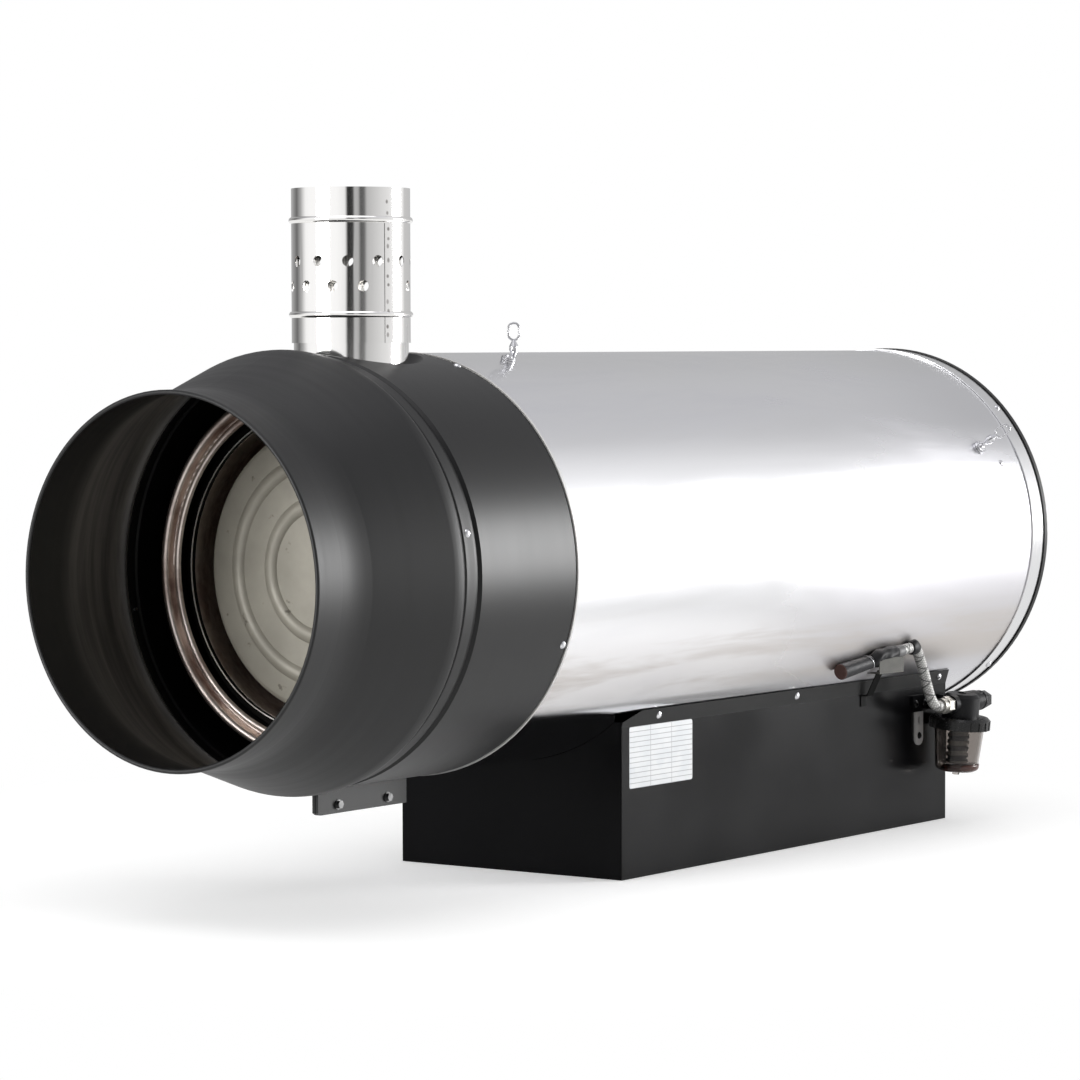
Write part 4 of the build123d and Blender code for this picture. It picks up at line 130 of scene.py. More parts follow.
class Paint:
    """A material with a Principled shader and short ways to add procedural detail."""

    def __init__(self, name, colour, rough, metal=0.0, **sockets):
        self.material = bpy.data.materials.new(name)
        self.material.use_nodes = True
        self.nodes = self.material.node_tree.nodes
        self.links = self.material.node_tree.links
        self.shader = self.nodes["Principled BSDF"]
        self.shader.inputs["Base Color"].default_value = (*colour, 1)
        self.shader.inputs["Roughness"].default_value = rough
        self.shader.inputs["Metallic"].default_value = metal
        for socket, value in sockets.items():
            self.shader.inputs[socket.replace("_", " ")].default_value = value
        self.place = self.nodes.new("ShaderNodeTexCoord").outputs["Object"]
        self.bumped = None

    def stretched(self, scale, centre=(0, 0, 0)):
        """Object coordinates from a centre, each scaled by its own factor."""
        mapping = self.nodes.new("ShaderNodeMapping")
        mapping.vector_type = "POINT"
        mapping.inputs["Location"].default_value = [-c * s for c, s in zip(centre, scale)]
        mapping.inputs["Scale"].default_value = scale
        self.links.new(self.place, mapping.inputs["Vector"])
        return mapping.outputs["Vector"]

    def noise(self, scale, detail=3.0, rough=0.5, stretch=None, distortion=0.0):
        """Noise from object coordinates."""
        texture = self.nodes.new("ShaderNodeTexNoise")
        texture.inputs["Scale"].default_value = scale
        texture.inputs["Detail"].default_value = detail
        texture.inputs["Roughness"].default_value = rough
        texture.inputs["Distortion"].default_value = distortion
        self.links.new(self.stretched(stretch) if stretch else self.place, texture.inputs["Vector"])
        return texture.outputs["Fac"]

    def spread(self, value, low, high, start=0.3, end=0.7):
        """A value brought to a new range, with soft ends."""
        node = self.nodes.new("ShaderNodeMapRange")
        node.interpolation_type = "SMOOTHSTEP"
        node.inputs["From Min"].default_value = start
        node.inputs["From Max"].default_value = end
        node.inputs["To Min"].default_value = low
        node.inputs["To Max"].default_value = high
        self.links.new(value, node.inputs["Value"])
        return node.outputs["Result"]

    def blend(self, value, first, second):
        """Colour between two colours."""
        node = self.nodes.new("ShaderNodeMix")
        node.data_type = "RGBA"
        for socket, colour in (("A", first), ("B", second)):
            target = [i for i in node.inputs if i.name == socket and i.type == "RGBA"][0]
            if isinstance(colour, tuple):
                target.default_value = (*colour, 1)
            else:
                self.links.new(colour, target)
        self.links.new(value, node.inputs["Factor"])
        return [o for o in node.outputs if o.type == "RGBA"][0]

    def maths(self, operation, first, second):
        """Arithmetic on two values, each a number or an output."""
        node = self.nodes.new("ShaderNodeMath")
        node.operation = operation
        for socket, value in zip(node.inputs, (first, second)):
            if isinstance(value, float):
                socket.default_value = value
            else:
                self.links.new(value, socket)
        return node.outputs["Value"]

    def times(self, first, second):
        return self.maths("MULTIPLY", first, second)

    def plus(self, first, second):
        return self.maths("ADD", first, second)

    def reach(self, scale, centre):
        """Distance from a point, or from a line where the scale along it is zero."""
        node = self.nodes.new("ShaderNodeVectorMath")
        node.operation = "LENGTH"
        self.links.new(self.stretched(scale, centre), node.inputs[0])
        return node.outputs["Value"]

    def axes(self):
        """Object coordinates, one output for each axis."""
        node = self.nodes.new("ShaderNodeSeparateXYZ")
        self.links.new(self.place, node.inputs["Vector"])
        return node.outputs["X"], node.outputs["Y"], node.outputs["Z"]

    def facing_axis(self):
        """One on faces that look towards the heater's axis, nought on the rest."""
        centred = self.stretched((1.0, 0.0, 1.0), (0.0, 0.0, AXIS_HEIGHT))
        along = self.nodes.new("ShaderNodeVectorMath")
        along.operation = "DOT_PRODUCT"
        self.links.new(centred, along.inputs[0])
        self.links.new(self.nodes.new("ShaderNodeNewGeometry").outputs["True Normal"], along.inputs[1])
        return self.spread(along.outputs["Value"], 1.0, 0.0, -0.12, -0.08)

    def specular(self, output):
        self.links.new(output, self.shader.inputs["Specular IOR Level"])
        return self

    def colour(self, output):
        self.links.new(output, self.shader.inputs["Base Color"])
        return self

    def metal(self, output):
        self.links.new(output, self.shader.inputs["Metallic"])
        return self

    def rough(self, output):
        self.links.new(output, self.shader.inputs["Roughness"])
        return self

    def bump(self, height, strength, distance):
        """Bump from a height; a second call is laid over the first."""
        node = self.nodes.new("ShaderNodeBump")
        node.inputs["Strength"].default_value = strength
        node.inputs["Distance"].default_value = distance
        self.links.new(height, node.inputs["Height"])
        if self.bumped:
            self.links.new(self.bumped, node.inputs["Normal"])
        self.bumped = node.outputs["Normal"]
        self.links.new(self.bumped, self.shader.inputs["Normal"])
        return self


def black_sheet(name, rough, specular=0.32, streaky=1.0, painted_sheen_inside=False):
    """Semi-gloss black paint over spun sheet, with faint lines round the heater's axis; optionally a paler
    painted sheen on the inner faces of the flare.
    """
    paint = Paint(name, SHEET_COLOUR, rough, Specular_IOR_Level=specular)
    lines = paint.noise(1.0, 4.0, 0.6, stretch=(3, 700, 3))
    broad = paint.noise(1.0, 3.0, 0.6, stretch=(1.5, 90, 1.5))
    paint.rough(paint.spread(broad, rough - 0.02 * streaky, rough + 0.03 * streaky))
    if painted_sheen_inside:
        # Inner faces of the flare: paler warm grey in patches, a painted sheen in place of the light
        # inside the mouth.
        patches = paint.noise(5.0, 4.0, 0.6, stretch=(1, 12, 1))
        inside_sheen = paint.blend(paint.spread(patches, 0, 1), (0.13, 0.121, 0.11), (0.05, 0.047, 0.043))
        flared = paint.spread(paint.axes()[1], 0.0, 1.0, station(0.06), station(0.11))
        paint.colour(paint.blend(paint.times(paint.facing_axis(), flared), SHEET_COLOUR, inside_sheen))
    paint.bump(lines, 0.07 * streaky, 0.0004)
    return paint.material


def box_paint(name, specular):
    """Smooth powder coat of the box; the leaning strip along a cover's top is rougher and painted lighter
    as a painted sheen.
    """
    paint = Paint(name, BOX_COLOUR, 0.2, Specular_IOR_Level=specular)
    grain = paint.noise(900.0, 2.0)
    across, _, height = paint.axes()
    strip = paint.spread(height, 0.0, 1.0, COVER_STRIP_LOW - 0.0005, COVER_STRIP_LOW + 0.0005)
    strip = paint.times(strip, paint.spread(across, 0.0, 1.0, COVER_LOW.x, COVER_LOW.x + 0.0005))
    paint.rough(paint.plus(paint.spread(paint.noise(5.0), 0.16, 0.24), paint.times(strip, 0.3)))
    # The strip's lighter grey is a painted sheen for the light its tilt catches.
    paint.colour(paint.blend(strip, BOX_COLOUR, (0.022, 0.022, 0.022)))
    paint.bump(grain, 0.03, 0.0002)
    return paint.material


def casing_steel():
    """Polished casing: wavy, with tan streaks low down as painted reflection, painted shade near the
    filter and towards the rear, and a dull grey front hem painted in place of its light edge line.
    """
    tint = (0.86, 0.86, 0.875)
    paint = Paint("casing stainless", tint, 0.2, 1.0)
    _, along, height = paint.axes()
    haze = paint.noise(2.6, 5.0, 0.62, stretch=(2.2, 0.45, 2.2), distortion=0.5)
    streaks = paint.noise(3.0, 4.0, 0.6, stretch=(2.0, 0.7, 9.0), distortion=0.3)
    side = paint.spread(height, 0.0, 1.0, AXIS_HEIGHT - 0.21, AXIS_HEIGHT - 0.15)
    below = paint.spread(height, 1.0, 0.0, AXIS_HEIGHT - 0.15, AXIS_HEIGHT - 0.04)
    floorward = paint.spread(height, 0.0, 1.0, AXIS_HEIGHT - 0.2, AXIS_HEIGHT - 0.165)
    # Near the filter and hose the steel is rougher and painted greyer: painted shade of the hose and
    # filter on the casing.
    filterward = paint.reach((1.0, 0.8, 1.3), (CASING_RADIUS, station(1.4), AXIS_HEIGHT - 0.1))
    dull = paint.spread(filterward, 1.0, 0.0, 0.14, 0.46)
    # Front hem: rougher, less metallic and grey, painted in place of the light line along its edge; it is
    # the casing's own steel.
    hem = paint.spread(along, 1.0, 0.0, CASING_HEM_END, CASING_HEM_END + 0.0006)
    film = paint.times(side, paint.spread(haze, 0.1, 0.26, 0.35, 0.7))
    film = paint.plus(film, paint.plus(paint.times(dull, 0.28), paint.times(hem, 0.35)))
    paint.rough(paint.plus(film, 0.045))
    paint.metal(paint.spread(hem, 1.0, 0.25, 0.0, 1.0))
    cool = paint.blend(paint.spread(haze, 0.0, 1.0, 0.42, 0.75), tint, (0.76, 0.76, 0.79))
    # Greyer towards the rear: painted shade.
    rearward = paint.spread(along, 0.0, 1.0, station(1.25), station(1.65))
    shaded = paint.blend(rearward, cool, (0.72, 0.72, 0.74))
    greyer = paint.blend(dull, shaded, (0.6, 0.595, 0.62))
    # Tan streaks low on the casing, between the axis and the floor: painted reflection.
    low_tan_reflection = paint.times(paint.times(below, floorward), paint.spread(streaks, 0.4, 1.0, 0.4, 0.62))
    steel = paint.blend(low_tan_reflection, greyer, (0.57, 0.54, 0.52))
    paint.colour(paint.blend(hem, steel, (0.55, 0.54, 0.53)))
    paint.bump(paint.noise(1.6, 2.0, stretch=(2.2, 0.45, 2.2)), 0.14, 0.02)
    paint.bump(paint.noise(6.0, 4.0, 0.6, stretch=(60, 2, 60)), 0.02, 0.0003)
    return paint.material


def flue_steel():
    """Bright stainless of the flue, with a row of small uneven weld marks down its lap seam."""
    tint = (0.94, 0.93, 0.91)
    paint = Paint("flue stainless", tint, 0.05, 1.0)
    waves = paint.noise(1.6, 2.0, stretch=(3.0, 3.0, 0.8))
    paint.rough(paint.spread(waves, 0.035, 0.09))
    shuffle = random.Random(4)
    margin = 0.01
    marks = 0.0
    height = FLUE_LOW.z + margin
    while height < FLUE_HIGH.z - margin:
        angle = SEAM_ANGLE + radians(shuffle.uniform(-0.8, 0.8))
        out = (FLUE_RADIUS * cos(angle), FLUE_RADIUS * sin(angle))
        centre = (FLUE_CENTRE.x + out[0], FLUE_CENTRE.y + out[1], height)
        mark = paint.reach((1.0, 1.0, shuffle.uniform(0.6, 1.0)), centre)
        marks = paint.plus(marks, paint.spread(mark, shuffle.uniform(0.4, 0.8), 0.0, 0.001, 0.0027))
        height += shuffle.uniform(0.008, 0.022)
    paint.colour(paint.blend(marks, tint, (0.13, 0.11, 0.1)))
    paint.bump(waves, 0.2, 0.02)
    return paint.material


def stainless(name, rough, tint):
    """Polished stainless sheet, slightly wavy along the heater."""
    paint = Paint(name, tint, rough, 1.0)
    haze = paint.noise(2.6, 5.0, 0.62, stretch=(2.2, 0.45, 2.2), distortion=0.5)
    paint.rough(paint.spread(haze, rough, rough + 0.12, 0.35, 0.7))
    darker = tuple(0.85 * channel for channel in tint)
    paint.colour(paint.blend(paint.spread(haze, 0.0, 1.0, 0.42, 0.75), tint, darker))
    paint.bump(paint.noise(1.6, 2.0, stretch=(2.2, 0.45, 2.2)), 0.16, 0.02)
    paint.bump(paint.noise(6.0, 4.0, 0.6, stretch=(60, 2, 60)), 0.02, 0.0003)
    return paint.material


def plated(name, colour=(0.72, 0.72, 0.74), rough=0.28, black_below=None):
    """Zinc plate or bare small metal, and black below a height if one is given."""
    paint = Paint(name, colour, rough, 1.0)
    patches = paint.noise(160.0, 4.0)
    paint.rough(paint.spread(patches, rough - 0.08, rough + 0.14))
    plate = paint.blend(paint.spread(patches, 0, 1), colour, tuple(0.75 * c for c in colour))
    if black_below:
        low = paint.spread(paint.axes()[2], 1.0, 0.0, black_below, black_below + 0.001)
        plate = paint.blend(low, plate, (0.01, 0.01, 0.01))
    paint.colour(plate)
    return paint.material


def heat_tinted(name, ring=False):
    """Hot steel, straw and brown with darker stains; the ring's dish is near-black, partly soot and partly
    painted shade, and its hem is painted bright as a painted highlight.
    """
    paint = Paint(name, (0.6, 0.52, 0.47), 0.3, 1.0)
    stains = paint.noise(14.0, 5.0, 0.6, stretch=(1, 2, 1))
    tint = paint.blend(paint.spread(stains, 0, 1, 0.4, 0.7), (0.85, 0.76, 0.7), (0.42, 0.32, 0.28))
    if ring:
        along = paint.axes()[1]
        radius = paint.reach((1.0, 0.0, 1.0), (0.0, 0.0, AXIS_HEIGHT))
        inside = paint.spread(radius, 1.0, 0.0, DISH_RADIUS, DISH_RADIUS + 0.001)
        behind = paint.spread(along, 0.0, 1.0, DISH_FRONT, DISH_FRONT + 0.0015)
        # Dish inside the hem: near-black, partly soot and partly painted shade of the recess.
        soot_and_shade = paint.blend(paint.times(inside, behind), tint, (0.012, 0.011, 0.01))
        # Hem: near-white, a painted highlight along its edge.
        lip = paint.spread(along, 1.0, 0.0, RING_HEM_END, RING_HEM_END + 0.0003)
        within = paint.spread(radius, 1.0, 0.0, RING_HEM_RADIUS, RING_HEM_RADIUS + 0.0004)
        hem = paint.times(lip, within)
        tint = paint.blend(hem, soot_and_shade, (0.95, 0.93, 0.9))
    paint.colour(tint)
    paint.rough(paint.spread(stains, 0.34, 0.5))
    return paint.material


def matt_cap():
    """Warm grey matt steel of the chamber's cap, with a few small dark marks."""
    paint = Paint("cap grey", (0.34, 0.32, 0.27), 0.48, 0.15)
    cloud = paint.noise(11.0, 4.0, 0.55)
    specks = paint.noise(46.0, 3.0, 0.5)
    clean = paint.blend(paint.spread(cloud, 0, 1), (0.36, 0.338, 0.284), (0.28, 0.263, 0.22))
    paint.colour(paint.blend(paint.spread(specks, 0.0, 0.7, 0.66, 0.72), clean, (0.08, 0.065, 0.05)))
    paint.rough(paint.spread(cloud, 0.4, 0.54))
    return paint.material


def rest_paint():
    """Olive grey paint of the sleeve's rest, black on the arm and foot below its plate as painted shade.
    """
    paint = Paint("rest paint", (0.055, 0.054, 0.047), 0.6)
    height = paint.axes()[2]
    foot = paint.spread(height, 1.0, 0.0, REST_PLATE_LOW - 0.0002, REST_PLATE_LOW + 0.0002)
    worn = paint.blend(paint.spread(paint.noise(60.0), 0, 1), (0.075, 0.073, 0.064), (0.055, 0.054, 0.047))
    # Arm and foot below the plate are painted black to read as the shade under the sleeve.
    paint.colour(paint.blend(foot, worn, (0.003, 0.003, 0.003)))
    paint.specular(paint.spread(foot, 0.3, 0.06, 0.0, 1.0))
    paint.bump(paint.noise(250.0), 0.05, 0.0003)
    return paint.material


def clear_bowl():
    """Smoky clear moulding of the filter's bowl."""
    paint = Paint("clear bowl", (0.47, 0.44, 0.42), 0.04, Transmission_Weight=1.0, IOR=1.3)
    paint.rough(paint.spread(paint.noise(30.0), 0.03, 0.08))
    return paint.material


def strainer():
    """Dark cage of the strainer, with paler gauze between its rungs."""
    paint = Paint("strainer", (0.02, 0.018, 0.016), 0.5)
    rung_pitch = 0.0145
    height = paint.axes()[2]
    wave = paint.maths("SINE", paint.times(paint.plus(height, -BOWL_LOW.z), 2 * pi / rung_pitch), 0.0)
    gauze = paint.spread(wave, 0.0, 1.0, -0.3, 0.5)
    paint.colour(paint.blend(gauze, (0.008, 0.007, 0.006), (0.17, 0.155, 0.14)))
    paint.bump(paint.noise(300.0), 0.1, 0.0003)
    return paint.material


def plate_foil():
    """Pale foil of the plate, bare but for ruled lines."""
    paint = Paint("plate foil", (0.6, 0.61, 0.62), 0.4)
    _, along, height = paint.axes()
    flat = paint.nodes.new("ShaderNodeCombineXYZ")
    paint.links.new(paint.plus(along, -PLATE_FRONT), flat.inputs["X"])
    paint.links.new(paint.plus(height, -PLATE_BOTTOM), flat.inputs["Y"])
    lines = paint.nodes.new("ShaderNodeTexBrick")
    lines.offset = 0.0
    lines.inputs["Scale"].default_value = 1.0
    lines.inputs["Mortar Size"].default_value = 0.0006
    lines.inputs["Mortar Smooth"].default_value = 0.3
    lines.inputs["Brick Width"].default_value = PLATE_LENGTH / 3
    lines.inputs["Row Height"].default_value = PLATE_HEIGHT / 12
    paint.links.new(flat.outputs["Vector"], lines.inputs["Vector"])
    shade = paint.blend(paint.spread(paint.noise(40.0), 0, 1), (0.6, 0.61, 0.62), (0.54, 0.56, 0.58))
    paint.colour(paint.blend(paint.times(lines.outputs["Fac"], 0.65), shade, (0.12, 0.12, 0.13)))
    return paint.material


def plain(name, colour, rough, metal=0.0, grain=400.0, strength=0.05, **sockets):
    """Plain material with a little grain."""
    paint = Paint(name, colour, rough, metal, **sockets)
    speck = paint.noise(grain, 3.0)
    paint.rough(paint.spread(speck, max(rough - 0.05, 0.02), min(rough + 0.08, 1.0)))
    paint.bump(speck, strength, 0.0003)
    return paint.material


CONE_BLACK = black_sheet("cone black", 0.46, specular=0.4, painted_sheen_inside=True)
BAND_BLACK = black_sheet("band black", 0.38, streaky=0.3)
RIM_BLACK = black_sheet("rim black", 0.4)
BOX_BLACK = box_paint("box black", 0.1)
PAN_BLACK = box_paint("pan black", 0.05)
CASING_STEEL = casing_steel()
FLUE_STEEL = flue_steel()
HOOP_STEEL = stainless("hoop stainless", 0.16, (0.8, 0.8, 0.81))
ZINC = plated("zinc")
COVER_ZINC = plated("cover screw zinc", black_below=BLACK_SCREWS_BELOW)
DULL_ZINC = plated("dull zinc", (0.16, 0.16, 0.16), 0.4)
WIRE = plated("hanger wire", (0.7, 0.7, 0.72), 0.22)
HEAT_TINT = heat_tinted("heat tint")
RING_TINT = heat_tinted("ring heat tint", ring=True)
CAP_GREY = matt_cap()
DARK_STEEL = plain("dark steel", (0.05, 0.048, 0.046), 0.5, 0.8, 60.0, 0.1)
ALUMINIUM = plain("cast aluminium", (0.55, 0.55, 0.56), 0.38, 1.0, 500.0, 0.12)
FILTER_BLACK = plain(
    "filter head black", (0.007, 0.007, 0.0078), 0.42, 0.0, 500.0, 0.2, Specular_IOR_Level=0.16
)
LOCK_BLACK = plain("lock ring black", (0.007, 0.007, 0.007), 0.22, 0.0, 500.0, 0.1, Specular_IOR_Level=0.3)
COPPER = plain("copper", (0.72, 0.4, 0.25), 0.25, 1.0)
BRASS = plain("brass", (0.74, 0.6, 0.36), 0.28, 1.0)
STEEL_FITTING = plain("hose fitting steel", (0.4, 0.39, 0.36), 0.42, 0.9, 260.0, 0.3)
BLACK_PLASTIC = plain("black plastic", (0.014, 0.014, 0.014), 0.35, 0.0, 300.0, 0.08)
PALE_PLASTIC = plain("pale plastic", (0.62, 0.59, 0.52), 0.45)
STRAINER = strainer()
STRIP_STEEL = plain("slotted strip", (0.42, 0.41, 0.4), 0.5, 0.4, 120.0, 0.3)
RED_PLASTIC = plain("red plastic", (0.5, 0.03, 0.02), 0.3)
OLIVE = rest_paint()
RUBBER = plain("dark rubber", (0.008, 0.008, 0.009), 0.48, 0.0, 220.0, 0.4, Specular_IOR_Level=0.18)
TUBE_RUBBER = plain(
    "grey rubber tube", (0.013, 0.013, 0.015), 0.45, 0.0, 160.0, 0.4, Specular_IOR_Level=0.2
)
GREY_WRAP = plain("grey wrap", (0.1, 0.1, 0.1), 0.5, 0.0, 220.0, 0.3)
END_RUBBER = plain("brown rubber end", (0.07, 0.032, 0.026), 0.6, 0.0, 200.0, 0.3)
OLD_FUEL = plain("old fuel", (0.05, 0.016, 0.01), 0.25, 0.0, 60.0, 0.05)
CLEAR = clear_bowl()
LENS_GREEN = plain("green lens", (0.05, 0.5, 0.12), 0.1, Transmission_Weight=0.4)

NODE_MATERIALS = {
    "outlet_cone": CONE_BLACK,
    "flue_band": BAND_BLACK,
    "inlet_bellmouth": RIM_BLACK,
    "fan_guard": RIM_BLACK,
    "base_pan": PAN_BLACK,
    "rear_panel": PAN_BLACK,
    "side_cover_right": BOX_BLACK,
    "side_cover_left": BOX_BLACK,
    "cradle": BOX_BLACK,
    "casing": CASING_STEEL,
    "rear_hoop": HOOP_STEEL,
    "flue_stub": FLUE_STEEL,
    "flue_pipe": FLUE_STEEL,
    "band_flange_bolts": DULL_ZINC,
    "shell_screws": ZINC,
    "cover_screws": COVER_ZINC,
    "filter_strip": STRIP_STEEL,
    "filter_bracket": BOX_BLACK,
    "hanger_posts": WIRE,
    "motor_mount": DARK_STEEL,
    "exchanger_front_ring": RING_TINT,
    "exchanger_brackets": HEAT_TINT,
    "chamber_cap": CAP_GREY,
    "combustion_chamber": HEAT_TINT,
    "heat_exchanger": HEAT_TINT,
    "fan_motor": DARK_STEEL,
    "fan_impeller": ALUMINIUM,
    "burner_motor": DARK_STEEL,
    "blower_housing": DARK_STEEL,
    "blower_wheel": ALUMINIUM,
    "burner_duct": DARK_STEEL,
    "burner_head": BRASS,
    "fuel_pump": ALUMINIUM,
    "pump_coupling": PALE_PLASTIC,
    "ignition_transformer": PALE_PLASTIC,
    "control_box": BLACK_PLASTIC,
    "nozzle_line": COPPER,
    "suction_line": COPPER,
    "filter_head": FILTER_BLACK,
    "filter_plug": FILTER_BLACK,
    "filter_lock_ring": LOCK_BLACK,
    "filter_bowl": CLEAR,
    "filter_element": STRAINER,
    "hose_fitting": STEEL_FITTING,
    "hose_rest": OLIVE,
    "hose_tie": RUBBER,
    "hose_sleeve": RUBBER,
    "selector_knob": BLACK_PLASTIC,
    "reset_button": RED_PLASTIC,
    "indicator_lamps": LENS_GREEN,
    "thermostat_socket": BLACK_PLASTIC,
    "cable_gland": BLACK_PLASTIC,
}


def dress_nodes():
    """Give each carried-over CAD node its material; links and eyes of the hangers are wire."""
    for name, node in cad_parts.items():
        node.data.materials.clear()
        node.data.materials.append(NODE_MATERIALS.get(name, WIRE))
        for face in node.data.polygons:
            face.material_index = 0


dress_nodes()


def new_mesh(name, vertices, faces, material, smooth=True):
    """Mesh object from vertices and faces."""
    data = bpy.data.meshes.new(name)
    data.from_pydata([tuple(v) for v in vertices], [], faces)
    data.validate()
    data.materials.append(material)
    for face in data.polygons:
        face.use_smooth = smooth
    piece = bpy.data.objects.new(name, data)
    bpy.context.scene.collection.objects.link(piece)
    return piece


# Braided hose: the same route as the solid's (x, station, z), as control points of one smooth spline
HOSE_ROUTE = [
    (0.231, 1.446, 0.177),
    (0.231, 1.434, 0.177),
    (0.2305, 1.422, 0.1855),
    (0.2295, 1.4135, 0.203),
    (0.230, 1.400, 0.230),
    (0.233, 1.381, 0.254),
    (0.2365, 1.366, 0.267),
    (0.2376, 1.3457, 0.2684),
    (0.2355, 1.328, 0.2655),
]
HOSE_DIAMETER = 0.0155
STRAND_PITCH = 0.006
STRAND_RELIEF = 0.0001


def hose_braid():
    """Pale braid with crossing dark tracers; U goes round the hose once, V is its length in metres."""
    paint = Paint("hose braid", (0.3, 0.3, 0.29), 0.5, 0.3)
    lay = paint.nodes.new("ShaderNodeUVMap").outputs["UV"]

    def strands(rounds, pitch, turn):
        """Bands that wind round the hose; one unit of the wave's diagonal phase is ten radians."""
        mapping = paint.nodes.new("ShaderNodeMapping")
        turns = 2 * pi / 10
        mapping.inputs["Scale"].default_value = (turns * rounds * turn, turns / pitch, 1.0)
        paint.links.new(lay, mapping.inputs["Vector"])
        wave = paint.nodes.new("ShaderNodeTexWave")
        wave.bands_direction = "DIAGONAL"
        wave.inputs["Scale"].default_value = 1.0
        paint.links.new(mapping.outputs["Vector"], wave.inputs["Vector"])
        return wave.outputs["Fac"]

    fine = paint.times(strands(8, 0.0045, 1), strands(8, 0.0045, -1))
    tracers = [paint.spread(strands(1, 0.024, turn), 0.0, 0.85, 0.955, 0.99) for turn in (1, -1)]
    dark = paint.maths("MAXIMUM", *tracers)
    pale = paint.blend(paint.spread(fine, 0, 1, 0.0, 0.7), (0.26, 0.26, 0.25), (0.58, 0.575, 0.56))
    grimy = paint.blend(paint.spread(paint.noise(90.0), 0.0, 0.5, 0.5, 0.75), pale, (0.16, 0.155, 0.15))
    paint.colour(paint.blend(dark, grimy, (0.03, 0.03, 0.03)))
    paint.bump(fine, 0.5, 0.0005)
    return paint.material


def route_line():
    """Points along the hose's NURBS spline, from its fitting to its sleeve."""
    data = bpy.data.curves.new("hose route", "CURVE")
    data.dimensions = "3D"
    data.resolution_u = 24
    spline = data.splines.new("NURBS")
    spline.points.add(len(HOSE_ROUTE) - 1)
    for point, (x, along, z) in zip(spline.points, HOSE_ROUTE):
        point.co = (x, station(along), z, 1)
    spline.order_u = 3
    spline.use_endpoint_u = True
    holder = bpy.data.objects.new("hose route", data)
    mesh = bpy.data.meshes.new_from_object(holder)
    line = [vertex.co.copy() for vertex in mesh.vertices]
    bpy.data.objects.remove(holder)
    bpy.data.curves.remove(data)
    bpy.data.meshes.remove(mesh)
    return line


def add_tube(name, line, radius_at, material, sides=40, place=None):
    """Closed tube along a line, with radius_at(distance, angle) as radius; place may move each point."""
    heading = (line[1] - line[0]).normalized()
    out = Vector((1, 0, 0))
    out = (out - out.dot(heading) * heading).normalized()
    distance = 0.0
    vertices, lays = [], []
    for k, centre in enumerate(line):
        ahead = line[min(k + 1, len(line) - 1)] - line[max(k - 1, 0)]
        ahead.normalize()
        out = (out - out.dot(ahead) * ahead).normalized()
        up = ahead.cross(out)
        distance += (centre - line[k - 1]).length if k else 0.0
        for j in range(sides):
            angle = 2 * pi * j / sides
            point = centre + radius_at(distance, angle) * (cos(angle) * out + sin(angle) * up)
            vertices.append(place(point, distance) if place else point)
        lays.append(distance)
    faces = []
    for k in range(len(line) - 1):
        for j in range(sides):
            after = (j + 1) % sides
            faces.append((k * sides + j, (k + 1) * sides + j, (k + 1) * sides + after, k * sides + after))
    faces.append(tuple(range(sides)))
    faces.append(tuple((len(line) - 1) * sides + j for j in reversed(range(sides))))
    tube = new_mesh(name, vertices, faces, material)
    layer = tube.data.uv_layers.new(name="lay")
    for face in tube.data.polygons:
        round_seam = len(face.vertices) == 4 and max(v % sides for v in face.vertices) == sides - 1
        for corner, vertex in zip(face.loop_indices, face.vertices):
            turn = vertex % sides
            turn += sides if round_seam and turn == 0 else 0
            layer.data[corner].uv = (turn / sides, lays[vertex // sides])
        face.use_smooth = len(face.vertices) == 4
    return tube


def off_casing(point):
    """The point, moved out where it would be in the casing."""
    from_axis = Vector((point.x, 0, point.z - AXIS_HEIGHT))
    clear = CASING_RADIUS + 0.0008
    if from_axis.length < clear:
        from_axis *= clear / from_axis.length
    return Vector((from_axis.x, point.y, from_axis.z + AXIS_HEIGHT))


def wrinkles(seed, depth):
    """Radius change of a crumpled wrap, as a few winding folds."""
    shuffle = random.Random(seed)
    folds = []
    total = 0.0
    for _ in range(7):
        waves_round = shuffle.randint(1, 5)
        waves_along = shuffle.uniform(100, 420)
        start = shuffle.uniform(0, 2 * pi)
        size = shuffle.uniform(0.3, 1.0)
        folds.append((waves_round, waves_along, start, size))
        total += size

    def crumple(distance, angle):
        waves = sum(
            size * sin(waves_round * angle + waves_along * distance + start)
            for waves_round, waves_along, start, size in folds
        )
        return depth * waves / total

    return crumple


def add_hose(line, braid):
    """The hose as a mesh tube along its route's spline, with its strands raised."""

    def radius_at(distance, angle):
        turn = 2 * pi * distance / STRAND_PITCH
        crossing = cos(8 * angle + turn) * cos(8 * angle - turn)
        return HOSE_DIAMETER / 2 - STRAND_RELIEF + STRAND_RELIEF * crossing

    hose = add_tube("fuel_hose_braid", line, radius_at, braid, sides=48)
    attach(hose, HEATER)
    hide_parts("fuel_hose")
    tuple(line[0])
    [tuple(point) for point in line]


# Sleeve, by distance from its rear end; the rest's wall is REST_WALL outward of its middle
SLEEVE_LENGTH = 0.147
SLEEVE_CUFF_END = 0.016
SLEEVE_WRAP_END = 0.077
SLEEVE_CUFF_RADIUS = 0.0086
SLEEVE_WRAP_RADIUS = 0.0092
SLEEVE_WRAP_BULGE = 0.0034
SLEEVE_TUBE_RADIUS = 0.0098
SLEEVE_TUBE_FLARE = 0.0016
SLEEVE_EDGE_ROUND = 0.0015
SLEEVE_BROWN_END = 0.0022
SLEEVE_WIRE_BEYOND = 0.0035
SLEEVE_WIRE_THICK = 0.0011
REST_START = 0.008
REST_END = 0.068
REST_WALL = 0.0095
REST_TOP_BELOW = -0.0006


